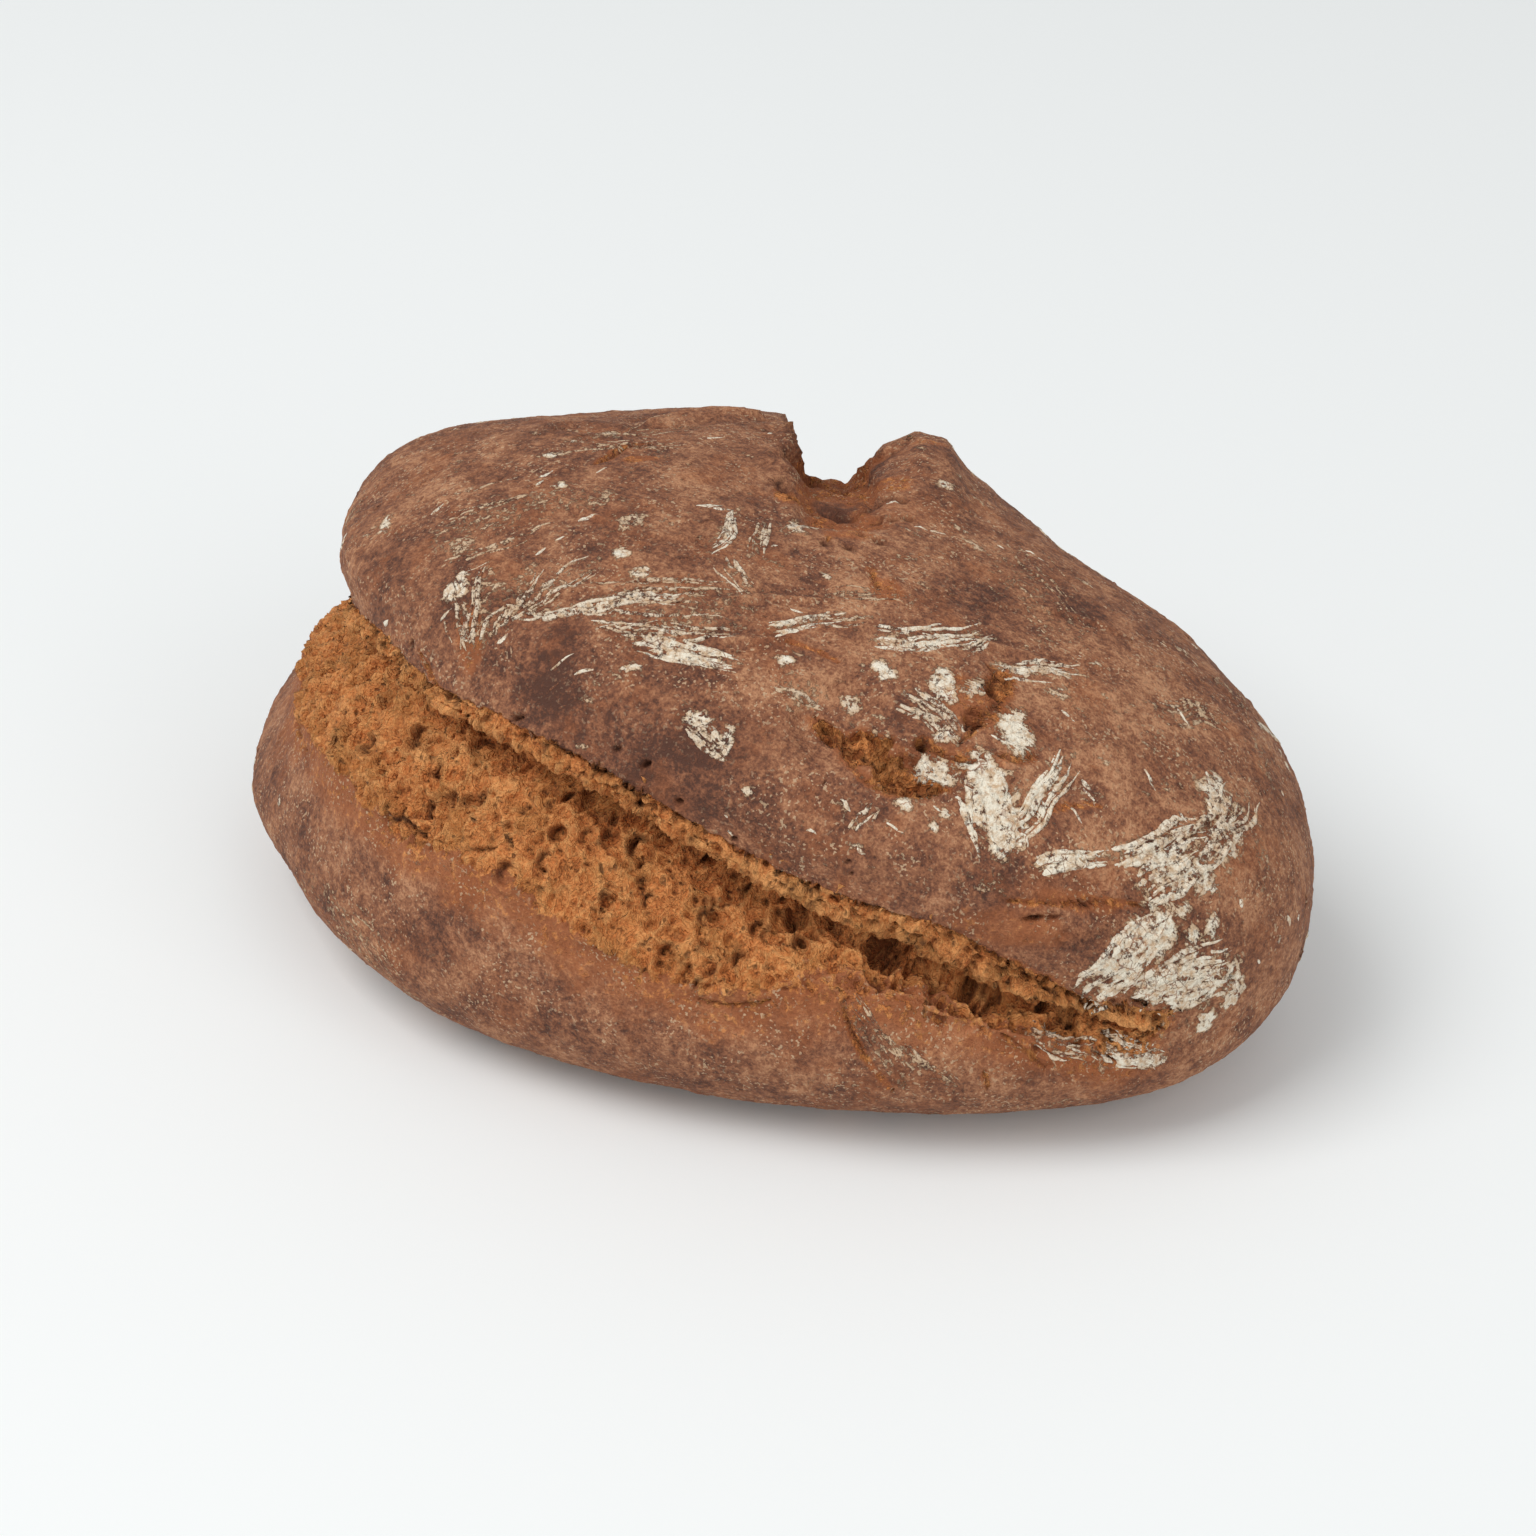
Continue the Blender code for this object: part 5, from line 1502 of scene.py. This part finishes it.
class OBJECT_OT_loaf_burst_crumb(bpy.types.Operator):
    """Make the torn crumb that shows between the lower crust and the lid"""

    bl_idname = "object.loaf_burst_crumb"
    bl_label = "Burst crumb"

    def execute(self, context):
        surface = fine_surface()
        net_piece("burst_crumb", surface.ring_index[surface.first_burst_row:], loaf_material("burst_crumb"))
        return {"FINISHED"}


class OBJECT_OT_loaf_crust_lid(bpy.types.Operator):
    """Make the crust over the dome, with its ragged lip and the split"""

    bl_idname = "object.loaf_crust_lid"
    bl_label = "Crust lid"

    def execute(self, context):
        net_piece("crust_lid", fine_surface().lid_index, loaf_material("crust_lid"))
        return {"FINISHED"}


class OBJECT_OT_loaf_flour_ridges(bpy.types.Operator):
    """Make the thin floured ridges and flakes that stand up from the crust"""

    bl_idname = "object.loaf_flour_ridges"
    bl_label = "Flour ridges"

    def execute(self, context):
        ridge_piece("flour_ridges", loaf_material("flour_ridges"))
        return {"FINISHED"}


def area_light(name, place, size, power):
    """A square soft light that faces the loaf."""
    bpy.ops.object.light_add(type="AREA", location=place)
    light = bpy.context.object
    light.name = light.data.name = name
    light.rotation_euler = (CAMERA_AIM - Vector(place)).to_track_quat("-Z", "Y").to_euler()
    light.data.size = size
    light.data.energy = power


class OBJECT_OT_loaf_stage(bpy.types.Operator):
    """Set the pale floor, the soft studio light and the camera"""

    bl_idname = "object.loaf_stage"
    bl_label = "Stage"

    def execute(self, context):
        scene = context.scene
        settings = scene.loaf_stage
        bpy.ops.object.select_all(action="DESELECT")
        bpy.ops.mesh.primitive_plane_add(size=settings.floor_size)
        floor = context.object
        floor.name = floor.data.name = "floor"
        material = bpy.data.materials.new("floor")
        material.use_nodes = True
        shader = material.node_tree.nodes["Principled BSDF"]
        shader.inputs["Base Color"].default_value = (*settings.floor_colour, 1.0)
        shader.inputs["Roughness"].default_value = 0.9
        shader.inputs["Specular IOR Level"].default_value = 0.1
        shader.inputs["Emission Color"].default_value = TABLE_TINT
        shader.inputs["Emission Strength"].default_value = settings.floor_glow
        floor.data.materials.append(material)

        world = bpy.data.worlds.new("room")
        world.use_nodes = True
        background = world.node_tree.nodes["Background"]
        background.inputs["Color"].default_value = ROOM_TINT
        background.inputs["Strength"].default_value = settings.sky_strength
        scene.world = world
        area_light("key", KEY_PLACE, KEY_SIZE, settings.key_power)
        area_light("fill", FILL_PLACE, FILL_SIZE, settings.fill_power)
        scene.view_settings.view_transform = "Standard"

        azimuth, elevation = math.radians(CAMERA_AZIMUTH), math.radians(CAMERA_ELEVATION)
        back = Vector((math.sin(azimuth) * math.cos(elevation), -math.cos(azimuth) * math.cos(elevation),
                       math.sin(elevation)))
        bpy.ops.object.camera_add(location=CAMERA_AIM + back * CAMERA_DISTANCE)
        camera = context.object
        camera.rotation_euler = back.to_track_quat("Z", "Y").to_euler()
        camera.data.lens = LENS
        camera.data.sensor_width = SENSOR
        scene.camera = camera
        return {"FINISHED"}


class VIEW3D_PT_loaf(bpy.types.Panel):
    """The loaf's pieces and settings in the sidebar"""

    bl_label = "Rye bread loaf"
    bl_space_type = "VIEW_3D"
    bl_region_type = "UI"
    bl_category = "Loaf"

    def draw(self, context):
        for operator in OPERATORS:
            self.layout.operator(operator.bl_idname)
        for key, _, _ in COLOURS:
            self.layout.prop(context.scene.loaf_colours, key)
        for key in LoafStage.__annotations__:
            self.layout.prop(context.scene.loaf_stage, key)


OPERATORS = (OBJECT_OT_loaf_stage, OBJECT_OT_loaf_lower_crust, OBJECT_OT_loaf_burst_crumb,
             OBJECT_OT_loaf_crust_lid, OBJECT_OT_loaf_flour_ridges)
CLASSES = (LoafColours, LoafStage, *OPERATORS, VIEW3D_PT_loaf)


def register():
    for made in CLASSES:
        bpy.utils.register_class(made)
    bpy.types.Scene.loaf_colours = PointerProperty(type=LoafColours)
    bpy.types.Scene.loaf_stage = PointerProperty(type=LoafStage)


def unregister():
    del bpy.types.Scene.loaf_stage
    del bpy.types.Scene.loaf_colours
    for made in reversed(CLASSES):
        bpy.utils.unregister_class(made)


def main():
    register()
    bpy.ops.object.loaf_stage()
    bpy.ops.object.loaf_lower_crust()
    bpy.ops.object.loaf_burst_crumb()
    bpy.ops.object.loaf_crust_lid()
    bpy.ops.object.loaf_flour_ridges()


if __name__ == "__main__":
    main()
